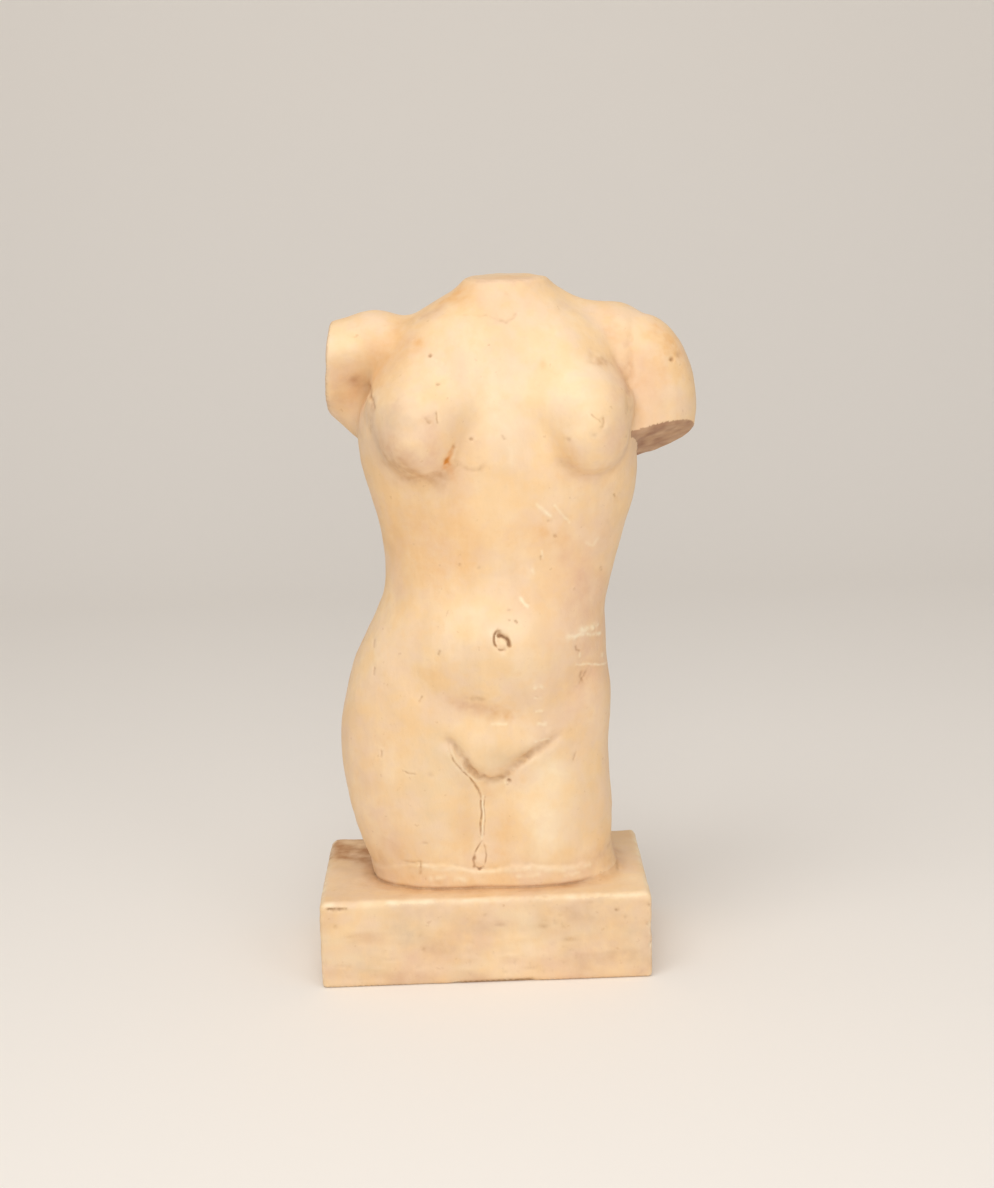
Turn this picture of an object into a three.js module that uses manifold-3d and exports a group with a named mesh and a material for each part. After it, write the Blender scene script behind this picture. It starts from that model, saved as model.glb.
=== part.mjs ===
// Female torso, neck stump to mid-thigh, standing on its own rectangular plinth.
// Torso and plinth are one casting of painted plaster, so they are one solid.
// Millimetres. +Z up, +X the figure's left side, the figure faces -Y.
// Origin: centre of the plinth's underside.
//
// The figure is worked out as one smooth height-by-height body whose outline comes
// from a table of levels, to which round masses (breasts, belly, seat, shoulders, arm
// stumps) are joined with soft seams, then hollows and lines are pressed in. The
// closed surface is taken from that field, thinned to a few thousand triangles and
// joined to the plinth block.
import * as THREE from 'three';
import Module from 'manifold-3d';

// ---------------------------------------------------------------- sizes (mm)
const PLINTH_W = 210, PLINTH_D = 120, PLINTH_H = 57.2;   // width, depth, height of the block
const PLINTH_EDGE = 1.6;                                 // worn edge of the block
const NECK_Z = 440.1, NECK_TILT = 0.055, NECK_EDGE = 3.6; // neck cut, dropping a little to the front, its worn edge
const FOOT_Z = 50;                                       // the legs run this low, into the block
const LIP_OUT = 2.3, LIP_UP = 13;                        // squeezed band of plaster round the legs
const STUB_X = -87.4, STUB_LEAN = 0.09;                  // upright cut through the right arm
const ARM_CUT = { at: [120, -24, 346.6], n: [0.27, -0.46, -1] }; // slanting cut through the left arm
const GRID = 3.3;                                        // spacing of the sampling grid
const TRIANGLES = 8600;                                  // facets kept on the figure

// Levels of the body: height, left edge, right edge, front, back, squareness of the section
const BODY = [
  [50, -69.5, 84.5, -42.0, 40.0, 2.90], [62, -71.5, 84.2, -42.5, 41.0, 2.85],
  [76, -77.0, 84.0, -43.5, 42.5, 2.80], [90, -82.0, 84.3, -45.0, 44.0, 2.70],
  [106, -85.8, 84.6, -46.5, 46.0, 2.60], [122, -88.3, 83.8, -47.5, 47.5, 2.50],
  [140, -89.8, 83.6, -48.5, 48.5, 2.45], [160, -88.8, 84.6, -50.0, 48.0, 2.40],
  [180, -84.8, 85.2, -51.5, 45.5, 2.40], [200, -79.0, 83.3, -52.3, 42.5, 2.35],
  [220, -69.4, 82.6, -52.5, 40.0, 2.35], [232, -63.2, 82.8, -51.2, 38.5, 2.30],
  [244, -58.0, 85.4, -49.5, 38.0, 2.25], [262, -56.5, 90.0, -48.0, 39.0, 2.20],
  [284, -58.4, 96.6, -48.6, 42.5, 2.20], [306, -63.3, 103.0, -50.3, 46.0, 2.25],
  [330, -69.0, 104.6, -52.0, 50.0, 2.35], [354, -69.0, 102.0, -51.5, 52.0, 2.40],
  [378, -62.5, 96.5, -48.0, 51.0, 2.40], [400, -52.0, 87.0, -42.0, 46.0, 2.30],
  [412, -40.0, 77.0, -36.5, 41.0, 2.20], [424, -22.0, 62.0, -29.0, 36.0, 2.10],
  [433, -6.0, 53.0, -22.5, 31.0, 2.00], [443, 4.0, 48.0, -17.5, 28.0, 2.00]];

// ---------------------------------------------------------------- small helpers
const clamp01 = t => Math.min(Math.max(t, 0), 1);
const step = (a, b, x) => { const t = clamp01((x - a) / (b - a)); return t * t * (3 - 2 * t); };
const join = (a, b, k) => { const h = clamp01(0.5 + 0.5 * (b - a) / k); return b + (a - b) * h - k * h * (1 - h); };
const cut = (a, b, k) => -join(-a, -b, k);
const sqr = v => v * v;
function ramp(x, xs, vs) {                                // straight steps between given values
  if (x <= xs[0]) return vs[0];
  for (let i = 1; i < xs.length; i++) if (x <= xs[i]) return vs[i - 1] + (vs[i] - vs[i - 1]) * (x - xs[i - 1]) / (xs[i] - xs[i - 1]);
  return vs[vs.length - 1];
}
function spline(zs, vs, T0, T1, dT) {                     // smooth curve through levels, as a table
  const n = zs.length, s = [], m = new Array(n);
  for (let i = 0; i < n - 1; i++) s.push((vs[i + 1] - vs[i]) / (zs[i + 1] - zs[i]));
  m[0] = s[0]; m[n - 1] = s[n - 2];
  for (let i = 1; i < n - 1; i++) {
    const a = zs[i] - zs[i - 1], b = zs[i + 1] - zs[i];
    m[i] = (s[i - 1] * b + s[i] * a) / (a + b);
  }
  const out = [];
  for (let z = T0; z <= T1 + 1e-6; z += dT) {
    const t = Math.min(Math.max(z, zs[0]), zs[n - 1]);
    let i = 0; while (i < n - 2 && t > zs[i + 1]) i++;
    const d = zs[i + 1] - zs[i], u = (t - zs[i]) / d;
    out.push((2 * u ** 3 - 3 * u * u + 1) * vs[i] + (u ** 3 - 2 * u * u + u) * d * m[i]
      + (-2 * u ** 3 + 3 * u * u) * vs[i + 1] + (u ** 3 - u * u) * d * m[i + 1]);
  }
  return z => {
    const f = Math.min(Math.max((z - T0) / dT, 0), out.length - 1.001), i = Math.floor(f);
    return out[i] + (out[i + 1] - out[i]) * (f - i);
  };
}
const levels = BODY.map(r => r[0]);
const [leftAt, rightAt, frontAt, backAt, squareAt] = [1, 2, 3, 4, 5].map(k => spline(levels, BODY.map(r => r[k]), 50, 443, 0.5));
const spineAt = spline([60, 110, 150, 185, 240, 300, 360, 415, 443], [3, 3, 3, 7, 14, 21, 25, 27, 28], 50, 443, 0.5);

// ---------------------------------------------------------------- solids of the field
// Each gives roughly the distance to its surface, less than zero inside.
function section(x, y, z) {                               // the body at one level
  const L = leftAt(z), R = rightAt(z), F = frontAt(z), B = backAt(z), n = squareAt(z);
  const a = (R - L) / 2, w = 0.5 + 0.5 * Math.tanh(y / 9), b = -F + (B + F) * w;
  const u = Math.abs(x - (L + R) / 2) / a + 1e-6, v = Math.abs(y) / b + 1e-6;
  const k = (u ** n + v ** n) ** (1 / n);
  return (k - 1) / (k ** (1 - n) * Math.sqrt(sqr(u ** (n - 1) / a) + sqr(v ** (n - 1) / b)) + 1e-9);
}
function egg(x, y, z, c, r) {                             // ellipsoid
  const X = x - c[0], Y = y - c[1], Z = z - c[2];
  const k0 = Math.sqrt(sqr(X / r[0]) + sqr(Y / r[1]) + sqr(Z / r[2])) + 1e-9;
  const k1 = Math.sqrt(sqr(X / r[0] ** 2) + sqr(Y / r[1] ** 2) + sqr(Z / r[2] ** 2)) + 1e-9;
  return k0 * (k0 - 1) / k1;
}
function limb(x, y, z, a, b, ra, rb) {                    // round bar from a to b, radius ra to rb
  const dx = b[0] - a[0], dy = b[1] - a[1], dz = b[2] - a[2];
  const t = clamp01(((x - a[0]) * dx + (y - a[1]) * dy + (z - a[2]) * dz) / (dx * dx + dy * dy + dz * dz));
  return Math.hypot(x - a[0] - dx * t, y - a[1] - dy * t, z - a[2] - dz * t) - ra - (rb - ra) * t;
}
function plane(x, y, z, p, n) {                           // everything on the side n points to is outside
  const l = Math.hypot(...n);
  return ((x - p[0]) * n[0] + (y - p[1]) * n[1] + (z - p[2]) * n[2]) / l;
}
function swell(x, y, z, c, r, roll = 0) {                 // soft swelling of unit height
  let X = x - c[0], Z = z - c[2];
  if (roll) { const a = roll * Math.PI / 180, q = X; X = q * Math.cos(a) + Z * Math.sin(a); Z = -q * Math.sin(a) + Z * Math.cos(a); }
  return Math.exp(-(sqr(X / r[0]) + sqr((y - c[1]) / r[1]) + sqr(Z / r[2])));
}
function line(x, z, pts, w) {                             // pressed line seen from the front, fading at its ends
  let best = 1e9, T = 0; const n = pts.length - 1;
  for (let i = 0; i < n; i++) {
    const [ax, az] = pts[i], dx = pts[i + 1][0] - ax, dz = pts[i + 1][1] - az;
    const t = clamp01(((x - ax) * dx + (z - az) * dz) / (dx * dx + dz * dz)), d = Math.hypot(x - ax - dx * t, z - az - dz * t);
    if (d < best) { best = d; T = (i + t) / n; }
  }
  const f = clamp01(T / 0.22) * clamp01((1 - T) / 0.22);
  return Math.exp(-sqr(best / w)) * f * f * (3 - 2 * f);
}

// ---------------------------------------------------------------- named forms
const SEAT = [{ c: [-37, 29, 153], r: [42, 36, 42] }, { c: [40, 28, 149], r: [41, 35, 41] }];
const BELLY = { c: [12, -23, 214], r: [47, 34, 33], soft: 20 };
const MOUND = { c: [10, -25, 150], r: [44, 26, 25], soft: 12 };
const THIGHS = [{ c: [-42, -45, 104], r: [25, 24, 40] }, { c: [46, -45, 96], r: [24, 24, 42] }];
const BREASTS = [
  { c: [-29.5, -39, 350], r: [27, 28, 28], top: [-16, -22, 390] },
  { c: [72.5, -38, 349], r: [24.8, 27, 28], top: [58, -22, 390] }];
const GROINS = [
  { pts: [[-24, 163], [-14.6, 152.7], [-6.1, 138.5], [1.5, 131]], deep: 2.6 },
  { pts: [[56, 162], [39.9, 152.6], [28.5, 146.4], [17, 138.5], [6, 131]], deep: 2.4 }];
const HOLLOWS = [                                         // centre, reach, depth, lean
  [[6, -52, 178], [17, 20, 9], 1.5, 0], [[-38, -46, 196], [10, 20, 22], 2.0, 25], [[62, -44, 190], [10, 20, 22], 1.8, -25],
  [[19.5, -40, 415], [8, 20, 6], 1.5, 0], [[-66, -14, 373], [8, 12, 8], 3.5, 0]];

function figure(x, y, z) {
  const f = 1 / (1 + Math.exp((y + 8) / 10)), k = 1 / (1 + Math.exp(-(y - 10) / 10)); // front and back of the figure
  let d = section(x, y, z);
  const seam = 11 + 15 * step(150, 192, z);
  for (const s of SEAT) d = join(d, egg(x, y, z, s.c, s.r), seam);
  for (const s of [BELLY, MOUND]) d = join(d, egg(x, y, z, s.c, s.r), s.soft);
  for (const s of THIGHS) d -= 2.8 * swell(x, y, z, s.c, s.r);
  // shoulder girdle and the slope up to the neck
  d = join(d, join(limb(x, y, z, [-44, 7, 391], [16, 8, 392], 22, 23), limb(x, y, z, [90, 6, 398.5], [28, 8, 392], 24, 23), 10), 12);
  d = join(d, join(limb(x, y, z, [26, 9, 431], [-28, 8, 399], 15, 12), limb(x, y, z, [28, 9, 431], [82, 7, 404], 15, 12), 8), 10);
  // breasts: soft above, crisp below
  for (const b of BREASTS) {
    const up = limb(x, y, z, [b.c[0], b.c[1] + 10, b.c[2] + 6], b.top, b.r[0] - 6, 12);
    d = join(d, up, 28);
    d = join(d, egg(x, y, z, b.c, b.r), 4 + 24 * step(-6, 24, z - b.c[2]));
  }
  // right arm: a short stump held out, bevelled under the front, with the back of the armpit below it
  const lean = 396.5 + 0.231 * (x + 58);
  let s = limb(x, y, z, [-58, 4, 396.5], [-110, 1, 384.5], 25, 24);
  s = cut(s, -0.828 * (y - 2) - 0.562 * (z - lean) - 17, 5);
  s = join(s, limb(x, y, z, [-92, 19, 384.5], [-61, 19, 356.5], 17, 19.5), 7);
  s = cut(s, plane(x, y, z, [STUB_X, 0, 388], [-1, 0, STUB_LEAN]), 2.5);
  d = join(d, s, 5 + 8 * step(378, 400, z));
  // left arm: hangs beside the chest, cut off above the elbow
  let a = join(egg(x, y, z, [109.5, -2, 358], [32.4, 28, 56]), limb(x, y, z, [94, 5, 391], [98, 4, 388], 26, 27), 8);
  a = cut(a, plane(x, y, z, ARM_CUT.at, ARM_CUT.n), 2);
  d = join(d, a, 4);
  // lines and hollows of the front
  for (const g of GROINS) d += g.deep * line(x, z, g.pts, 3.4) * f;
  const mid = ramp(z, [60, 90, 105, 118, 128, 140], [-3, -2, 0.4, 1.5, 3, 4]);
  d += ramp(z, [50, 62, 90, 118, 128, 140], [0.5, 1.5, 4, 5, 4, 0]) * Math.exp(-sqr((x - mid) / 15)) * f;
  for (const [c, r, deep, roll] of HOLLOWS) d += deep * swell(x, y, z, c, r, roll);
  // back: spine, loins, shoulder blades, dimples, cleft and the folds under the seat
  const sx = spineAt(z);
  d += ramp(z, [175, 200, 240, 320, 380, 410, 430], [0, 2.2, 4.2, 3.6, 3.0, 1.6, 0]) * Math.exp(-sqr((x - sx) / 7.5)) * k;
  for (const m of [-1, 1]) {
    d -= ramp(z, [190, 225, 260, 310, 350], [0, 1.8, 1.8, 1.0, 0]) * Math.exp(-sqr((x - sx - m * 19) / 11)) * k;
    d -= 4.2 * swell(x, y, z, [23 + m * 42, 46, 366], [21, 18, 27], m * 14);
    d += 2.0 * swell(x, y, z, [23 + m * 20, 52, 352], [9, 18, 24], m * 20);
    d += 1.8 * swell(x, y, z, [10 + m * 17, 48, 201], [7, 16, 7]);
  }
  d += ramp(z, [50, 80, 105, 125, 150, 178, 196], [3, 4, 6, 8.5, 8, 4, 0]) * Math.exp(-sqr((x - 3) / (6.5 + 4 * step(120, 80, z)))) * k;
  for (const c of [-40, 43]) d += 2.2 * Math.exp(-sqr((z - 113 - 0.006 * sqr(x - c)) / 5.5)) * Math.exp(-(((x - c) / 30) ** 4)) * k;
  // neck cut
  return cut(d, plane(x, y, z, [28, 0, NECK_Z], [0, -NECK_TILT, 1]), NECK_EDGE);
}
function field(x, y, z) {
  let d = figure(x, y, z);
  const out = LIP_OUT - 0.11 * Math.min(Math.max(z - PLINTH_H, 0), 14);   // band round the foot of the legs, thinner upwards
  d = join(d, cut(d - out, z - PLINTH_H - LIP_UP, 1.6), 1.8);
  return cut(d, FOOT_Z - z, 1);
}

// ---------------------------------------------------------------- closed surface of a field
function surface(f, lo, hi, h) {
  const N = [0, 1, 2].map(i => Math.ceil((hi[i] - lo[i]) / h) + 1), [nx, ny, nz] = N;
  const F = new Float64Array(nx * ny * nz), id = (i, j, k) => (k * ny + j) * nx + i;
  for (let k = 0; k < nz; k++) for (let j = 0; j < ny; j++) for (let i = 0; i < nx; i++) F[id(i, j, k)] = f(lo[0] + i * h, lo[1] + j * h, lo[2] + k * h);
  const V = [], cell = new Int32Array(nx * ny * nz).fill(-1), T = [];
  for (let k = 0; k < nz - 1; k++) for (let j = 0; j < ny - 1; j++) for (let i = 0; i < nx - 1; i++) {
    let n = 0; const s = [0, 0, 0];
    for (let e = 0; e < 12; e++) {
      const ax = e >> 2, b = e & 1, c = (e >> 1) & 1, p = [0, 0, 0]; p[(ax + 1) % 3] = b; p[(ax + 2) % 3] = c;
      const q = p.slice(); q[ax] = 1;
      const u = F[id(i + p[0], j + p[1], k + p[2])], v = F[id(i + q[0], j + q[1], k + q[2])];
      if ((u < 0) !== (v < 0)) { const t = u / (u - v); for (let m = 0; m < 3; m++) s[m] += p[m] + (q[m] - p[m]) * t; n++; }
    }
    if (n) { cell[id(i, j, k)] = V.length; V.push([lo[0] + (i + s[0] / n) * h, lo[1] + (j + s[1] / n) * h, lo[2] + (k + s[2] / n) * h]); }
  }
  const quad = (a, b, c, d, flip) => {                    // split on the shorter diagonal
    const D = (p, q) => sqr(V[p][0] - V[q][0]) + sqr(V[p][1] - V[q][1]) + sqr(V[p][2] - V[q][2]);
    if (flip) [b, d] = [d, b];
    if (D(a, c) <= D(b, d)) T.push([a, b, c], [a, c, d]); else T.push([a, b, d], [b, c, d]);
  };
  for (let k = 1; k < nz - 1; k++) for (let j = 1; j < ny - 1; j++) for (let i = 1; i < nx - 1; i++) {
    const u = F[id(i, j, k)] < 0;
    if (u !== (F[id(i + 1, j, k)] < 0)) quad(cell[id(i, j - 1, k - 1)], cell[id(i, j, k - 1)], cell[id(i, j, k)], cell[id(i, j - 1, k)], !u);
    if (u !== (F[id(i, j + 1, k)] < 0)) quad(cell[id(i - 1, j, k - 1)], cell[id(i - 1, j, k)], cell[id(i, j, k)], cell[id(i, j, k - 1)], !u);
    if (u !== (F[id(i, j, k + 1)] < 0)) quad(cell[id(i - 1, j - 1, k)], cell[id(i, j - 1, k)], cell[id(i, j, k)], cell[id(i - 1, j, k)], !u);
  }
  return { V, T };
}
function settle(f, V, rounds, most) {                     // move points onto the surface along its slope
  const e = 0.3;
  for (const p of V) for (let r = 0; r < rounds; r++) {
    const v = f(p[0], p[1], p[2]);
    const g = [f(p[0] + e, p[1], p[2]) - f(p[0] - e, p[1], p[2]), f(p[0], p[1] + e, p[2]) - f(p[0], p[1] - e, p[2]), f(p[0], p[1], p[2] + e) - f(p[0], p[1], p[2] - e)].map(q => q / (2 * e));
    const l = Math.hypot(...g) + 1e-9, s = Math.max(-most, Math.min(most, v / l)) / l;
    for (let m = 0; m < 3; m++) p[m] -= g[m] * s;
  }
}

// ---------------------------------------------------------------- thinning the facets
// Edges are closed up in order of the error they cause, flat areas first, so the
// facets that remain follow the folds. A closed surface stays closed.
function thin({ V, T }, goal) {
  const around = V.map(() => new Set()), alive = T.map(() => true);
  const Q = V.map(() => new Float64Array(10)), stamp = new Int32Array(V.length);
  const sub = (a, b) => [a[0] - b[0], a[1] - b[1], a[2] - b[2]];
  const cross = (a, b) => [a[1] * b[2] - a[2] * b[1], a[2] * b[0] - a[0] * b[2], a[0] * b[1] - a[1] * b[0]];
  const dot = (a, b) => a[0] * b[0] + a[1] * b[1] + a[2] * b[2];
  T.forEach((t, i) => {
    const n = cross(sub(V[t[1]], V[t[0]]), sub(V[t[2]], V[t[0]])), l = Math.hypot(...n) + 1e-12, u = n.map(c => c / l), w = -dot(u, V[t[0]]), A = l / 2;
    const q = [u[0] * u[0], u[0] * u[1], u[0] * u[2], u[0] * w, u[1] * u[1], u[1] * u[2], u[1] * w, u[2] * u[2], u[2] * w, w * w];
    for (const v of t) { around[v].add(i); for (let m = 0; m < 10; m++) Q[v][m] += q[m] * A; }
  });
  const err = (q, p) => q[0] * p[0] * p[0] + 2 * q[1] * p[0] * p[1] + 2 * q[2] * p[0] * p[2] + 2 * q[3] * p[0] + q[4] * p[1] * p[1] + 2 * q[5] * p[1] * p[2] + 2 * q[6] * p[1] + q[7] * p[2] * p[2] + 2 * q[8] * p[2] + q[9];
  const heap = [];
  const push = c => { heap.push(c); let i = heap.length - 1; while (i) { const p = (i - 1) >> 1; if (heap[p].e <= heap[i].e) break; [heap[p], heap[i]] = [heap[i], heap[p]]; i = p; } };
  const pop = () => {
    const top = heap[0], end = heap.pop();
    if (heap.length) { heap[0] = end; let i = 0; for (;;) { let c = 2 * i + 1; if (c >= heap.length) break; if (c + 1 < heap.length && heap[c + 1].e < heap[c].e) c++; if (heap[i].e <= heap[c].e) break; [heap[c], heap[i]] = [heap[i], heap[c]]; i = c; } }
    return top;
  };
  const offer = (a, b) => {
    const q = new Float64Array(10); for (let m = 0; m < 10; m++) q[m] = Q[a][m] + Q[b][m];
    const len = Math.hypot(...sub(V[a], V[b])), mid = [0, 1, 2].map(m => (V[a][m] + V[b][m]) / 2), g = 1e-3 * (q[0] + q[4] + q[7]);
    // best place for the joined point, drawn slightly to the middle of the edge
    const A = [[q[0] + g, q[1], q[2]], [q[1], q[4] + g, q[5]], [q[2], q[5], q[7] + g]], B = [g * mid[0] - q[3], g * mid[1] - q[6], g * mid[2] - q[8]];
    const det = dot(A[0], cross(A[1], A[2])); let p = mid;
    if (Math.abs(det) > 1e-9) {
      p = [0, 1, 2].map(c => { const M = A.map((r, i) => r.map((v, j) => j === c ? B[i] : v)); return dot(M[0], cross(M[1], M[2])) / det; });
      if (Math.hypot(...sub(p, mid)) > len) p = mid;
    }
    push({ e: err(q, p) + 0.004 * len * len, a, b, p, q, s: stamp[a] + stamp[b] });
  };
  const ring = v => { const s = new Set(); for (const t of around[v]) for (const w of T[t]) if (w !== v) s.add(w); return s; };
  for (const t of T) for (let i = 0; i < 3; i++) if (t[i] < t[(i + 1) % 3]) offer(t[i], t[(i + 1) % 3]);
  let count = T.length; const dead = new Uint8Array(V.length);
  while (count > goal && heap.length) {
    const c = pop(); if (dead[c.a] || dead[c.b] || c.s !== stamp[c.a] + stamp[c.b]) continue;
    const ra = ring(c.a), rb = ring(c.b); if (!ra.has(c.b)) continue;
    let shared = 0; for (const w of ra) if (rb.has(w)) shared++;
    if (shared !== 2) continue;
    let ok = true;
    for (const v of [c.a, c.b]) for (const t of around[v]) {
      const f = T[t]; if (f.includes(c.a) && f.includes(c.b)) continue;
      const o = f.map(w => V[w]), n = f.map(w => w === v ? c.p : V[w]);
      const n0 = cross(sub(o[1], o[0]), sub(o[2], o[0])), n1 = cross(sub(n[1], n[0]), sub(n[2], n[0]));
      const l0 = Math.hypot(...n0), l1 = Math.hypot(...n1);
      const long = Math.max(...[0, 1, 2].map(i => Math.hypot(...sub(n[i], n[(i + 1) % 3]))));
      if (l1 < 0.12 * long * long || dot(n0, n1) < 0.35 * l0 * l1) { ok = false; break; }
    }
    if (!ok) continue;
    V[c.a] = c.p; Q[c.a] = c.q; dead[c.b] = 1; stamp[c.a] += 1;
    for (const t of around[c.b]) {
      if (T[t].includes(c.a)) { alive[t] = false; count--; for (const w of T[t]) if (w !== c.b) around[w].delete(t); }
      else { T[t] = T[t].map(w => w === c.b ? c.a : w); around[c.a].add(t); }
    }
    around[c.b].clear();
    for (const w of ring(c.a)) offer(c.a, w);
  }
  const at = new Map(), V2 = [], T2 = [];
  T.forEach((t, i) => { if (alive[i]) T2.push(t.map(w => { if (!at.has(w)) { at.set(w, V2.length); V2.push(V[w]); } return at.get(w); })); });
  return { V: V2, T: T2 };
}

// ---------------------------------------------------------------- building the solid
// The sampling grid is shifted a little until every edge of the net has exactly two facets.
const simple = T => {
  const seen = new Map();
  for (const t of T) for (let i = 0; i < 3; i++) { const a = t[i], b = t[(i + 1) % 3], k = Math.min(a, b) * 1e6 + Math.max(a, b); seen.set(k, (seen.get(k) || 0) + 1); }
  return [...seen.values()].every(n => n === 2);
};
let net;
for (let s = 0; s < 8; s++) {
  net = surface(field, [-96 - 0.17 * s, -82 - 0.41 * s, 44], [148, 78, 450], GRID);
  if (simple(net.T)) break;
}
settle(field, net.V, 2, 1.5);
const thinned = thin(net, TRIANGLES);
settle(field, thinned.V, 2, 0.6);

const wasm = await Module(); wasm.setup();
const solidOf = (verts, tris) => new wasm.Manifold(new wasm.Mesh({ numProp: 3, vertProperties: Float32Array.from(verts.flat()), triVerts: Uint32Array.from(tris.flat()) }));

// plinth block: bottom outline, the worn arris as a narrow chamfer, then the top outline
function block(w, d, h, e) {
  const rings = [[0, 0], [0, h - e], [e, h]];
  const V = [], T = [];
  for (const [inset, z] of rings) {
    const a = w / 2 - inset, b = d / 2 - inset, c = 1.2;   // c: the upright corners are broken a little
    for (const [x, y] of [[a, -b + c], [a, b - c], [a - c, b], [-a + c, b], [-a, b - c], [-a, -b + c], [-a + c, -b], [a - c, -b]]) V.push([x, y, z]);
  }
  for (let r = 0; r < 2; r++) for (let i = 0; i < 8; i++) {
    const j = (i + 1) % 8, p = r * 8; T.push([p + i, p + j, p + 8 + j], [p + i, p + 8 + j, p + 8 + i]);
  }
  for (let i = 1; i < 7; i++) { T.push([0, i + 1, i]); T.push([16, 16 + i, 16 + i + 1]); }
  return solidOf(V, T);
}
const whole = solidOf(thinned.V, thinned.T).add(block(PLINTH_W, PLINTH_D, PLINTH_H, PLINTH_EDGE));
const out = whole.getMesh();
const geometry = new THREE.BufferGeometry();
geometry.setAttribute('position', new THREE.BufferAttribute(Float32Array.from(out.vertProperties), 3));
geometry.setIndex(new THREE.BufferAttribute(Uint32Array.from(out.triVerts), 1));
geometry.computeVertexNormals();

const plaster = new THREE.MeshStandardMaterial({ name: 'cream painted plaster', color: 0xecca98, roughness: 0.62, metalness: 0 });
const torso = new THREE.Mesh(geometry, plaster);
torso.name = 'torso_on_plinth';

const object = new THREE.Group();
object.name = 'female_torso_sculpture';
object.add(torso);
export default object;
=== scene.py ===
import math
import bpy
import numpy as np
from mathutils import Matrix, Vector


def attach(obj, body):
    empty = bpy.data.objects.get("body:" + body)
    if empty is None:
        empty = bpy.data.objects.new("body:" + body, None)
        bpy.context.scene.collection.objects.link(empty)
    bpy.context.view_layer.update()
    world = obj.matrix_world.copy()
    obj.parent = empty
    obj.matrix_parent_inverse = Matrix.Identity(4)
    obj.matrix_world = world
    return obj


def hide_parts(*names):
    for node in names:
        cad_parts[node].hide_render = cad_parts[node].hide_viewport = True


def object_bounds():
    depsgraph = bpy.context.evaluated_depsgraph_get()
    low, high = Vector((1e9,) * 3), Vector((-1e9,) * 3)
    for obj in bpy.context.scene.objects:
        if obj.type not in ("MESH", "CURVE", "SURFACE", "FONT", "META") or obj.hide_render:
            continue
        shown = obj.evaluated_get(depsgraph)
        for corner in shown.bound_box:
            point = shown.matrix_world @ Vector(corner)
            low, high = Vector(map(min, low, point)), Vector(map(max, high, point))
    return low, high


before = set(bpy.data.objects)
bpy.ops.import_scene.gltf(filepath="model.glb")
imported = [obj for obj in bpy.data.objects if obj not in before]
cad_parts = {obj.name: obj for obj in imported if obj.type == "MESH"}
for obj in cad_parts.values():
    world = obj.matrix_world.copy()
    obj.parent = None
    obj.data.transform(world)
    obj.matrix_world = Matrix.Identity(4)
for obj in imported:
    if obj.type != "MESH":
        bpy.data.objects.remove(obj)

CAD_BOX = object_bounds()
PIECE, NODE = "torso_on_plinth_finish", "torso_on_plinth"

# =====================================================================
# The form, in millimetres, in the part's own frame. The same named sizes
# and masses as the CAD solid; the finer relief is added further down.
# =====================================================================
PLINTH_W, PLINTH_D, PLINTH_H = 210.0, 120.0, 57.2
NECK_Z, NECK_TILT = 440.1, 0.055
FOOT_Z, LIP_OUT, LIP_UP = 50.0, 2.3, 12.0
STUB_X, STUB_LEAN = -87.4, 0.09
ARM_AT, ARM_N = (120.0, -24.0, 346.6), (0.27, -0.46, -1.0)

BODY = np.array([
    [50, -69.5, 84.5, -42.0, 40.0, 2.90], [62, -71.5, 84.2, -42.5, 41.0, 2.85],
    [76, -77.0, 84.0, -43.5, 42.5, 2.80], [90, -82.0, 84.3, -45.0, 44.0, 2.70],
    [106, -85.8, 84.6, -46.5, 46.0, 2.60], [122, -88.3, 83.8, -47.5, 47.5, 2.50],
    [140, -89.8, 83.6, -48.5, 48.5, 2.45], [160, -88.8, 84.6, -50.0, 48.0, 2.40],
    [180, -84.8, 85.2, -51.5, 45.5, 2.40], [200, -79.0, 83.3, -52.3, 42.5, 2.35],
    [220, -69.4, 82.6, -52.5, 40.0, 2.35], [232, -63.2, 82.8, -51.2, 38.5, 2.30],
    [244, -58.0, 85.4, -49.5, 38.0, 2.25], [262, -56.5, 90.0, -48.0, 39.0, 2.20],
    [284, -58.4, 96.6, -48.6, 42.5, 2.20], [306, -63.3, 103.0, -50.3, 46.0, 2.25],
    [330, -69.0, 104.6, -52.0, 50.0, 2.35], [354, -69.0, 102.0, -51.5, 52.0, 2.40],
    [378, -62.5, 96.5, -48.0, 51.0, 2.40], [400, -52.0, 87.0, -42.0, 46.0, 2.30],
    [412, -40.0, 77.0, -36.5, 41.0, 2.20], [424, -22.0, 62.0, -29.0, 36.0, 2.10],
    [433, -6.0, 53.0, -22.5, 31.0, 2.00], [443, 4.0, 48.0, -17.5, 28.0, 2.00]])


def join(a, b, k):
    h = np.clip(0.5 + 0.5 * (b - a) / k, 0, 1)
    return b + (a - b) * h - k * h * (1 - h)


def cut(a, b, k):
    return -join(-a, -b, k)


def step(a, b, x):
    t = np.clip((x - a) / (b - a), 0, 1)
    return t * t * (3 - 2 * t)


def spline(zs, vs, t):
    zs, vs = np.asarray(zs, float), np.asarray(vs, float)
    h = np.diff(zs)
    s = np.diff(vs) / h
    m = np.empty(len(zs))
    m[0], m[-1] = s[0], s[-1]
    m[1:-1] = (s[:-1] * h[1:] + s[1:] * h[:-1]) / (h[:-1] + h[1:])
    t = np.clip(t, zs[0], zs[-1])
    i = np.clip(np.searchsorted(zs, t, side="right") - 1, 0, len(zs) - 2)
    d = h[i]
    u = (t - zs[i]) / d
    return ((2 * u**3 - 3 * u**2 + 1) * vs[i] + (u**3 - 2 * u**2 + u) * d * m[i]
            + (-2 * u**3 + 3 * u**2) * vs[i + 1] + (u**3 - u**2) * d * m[i + 1])


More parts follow.
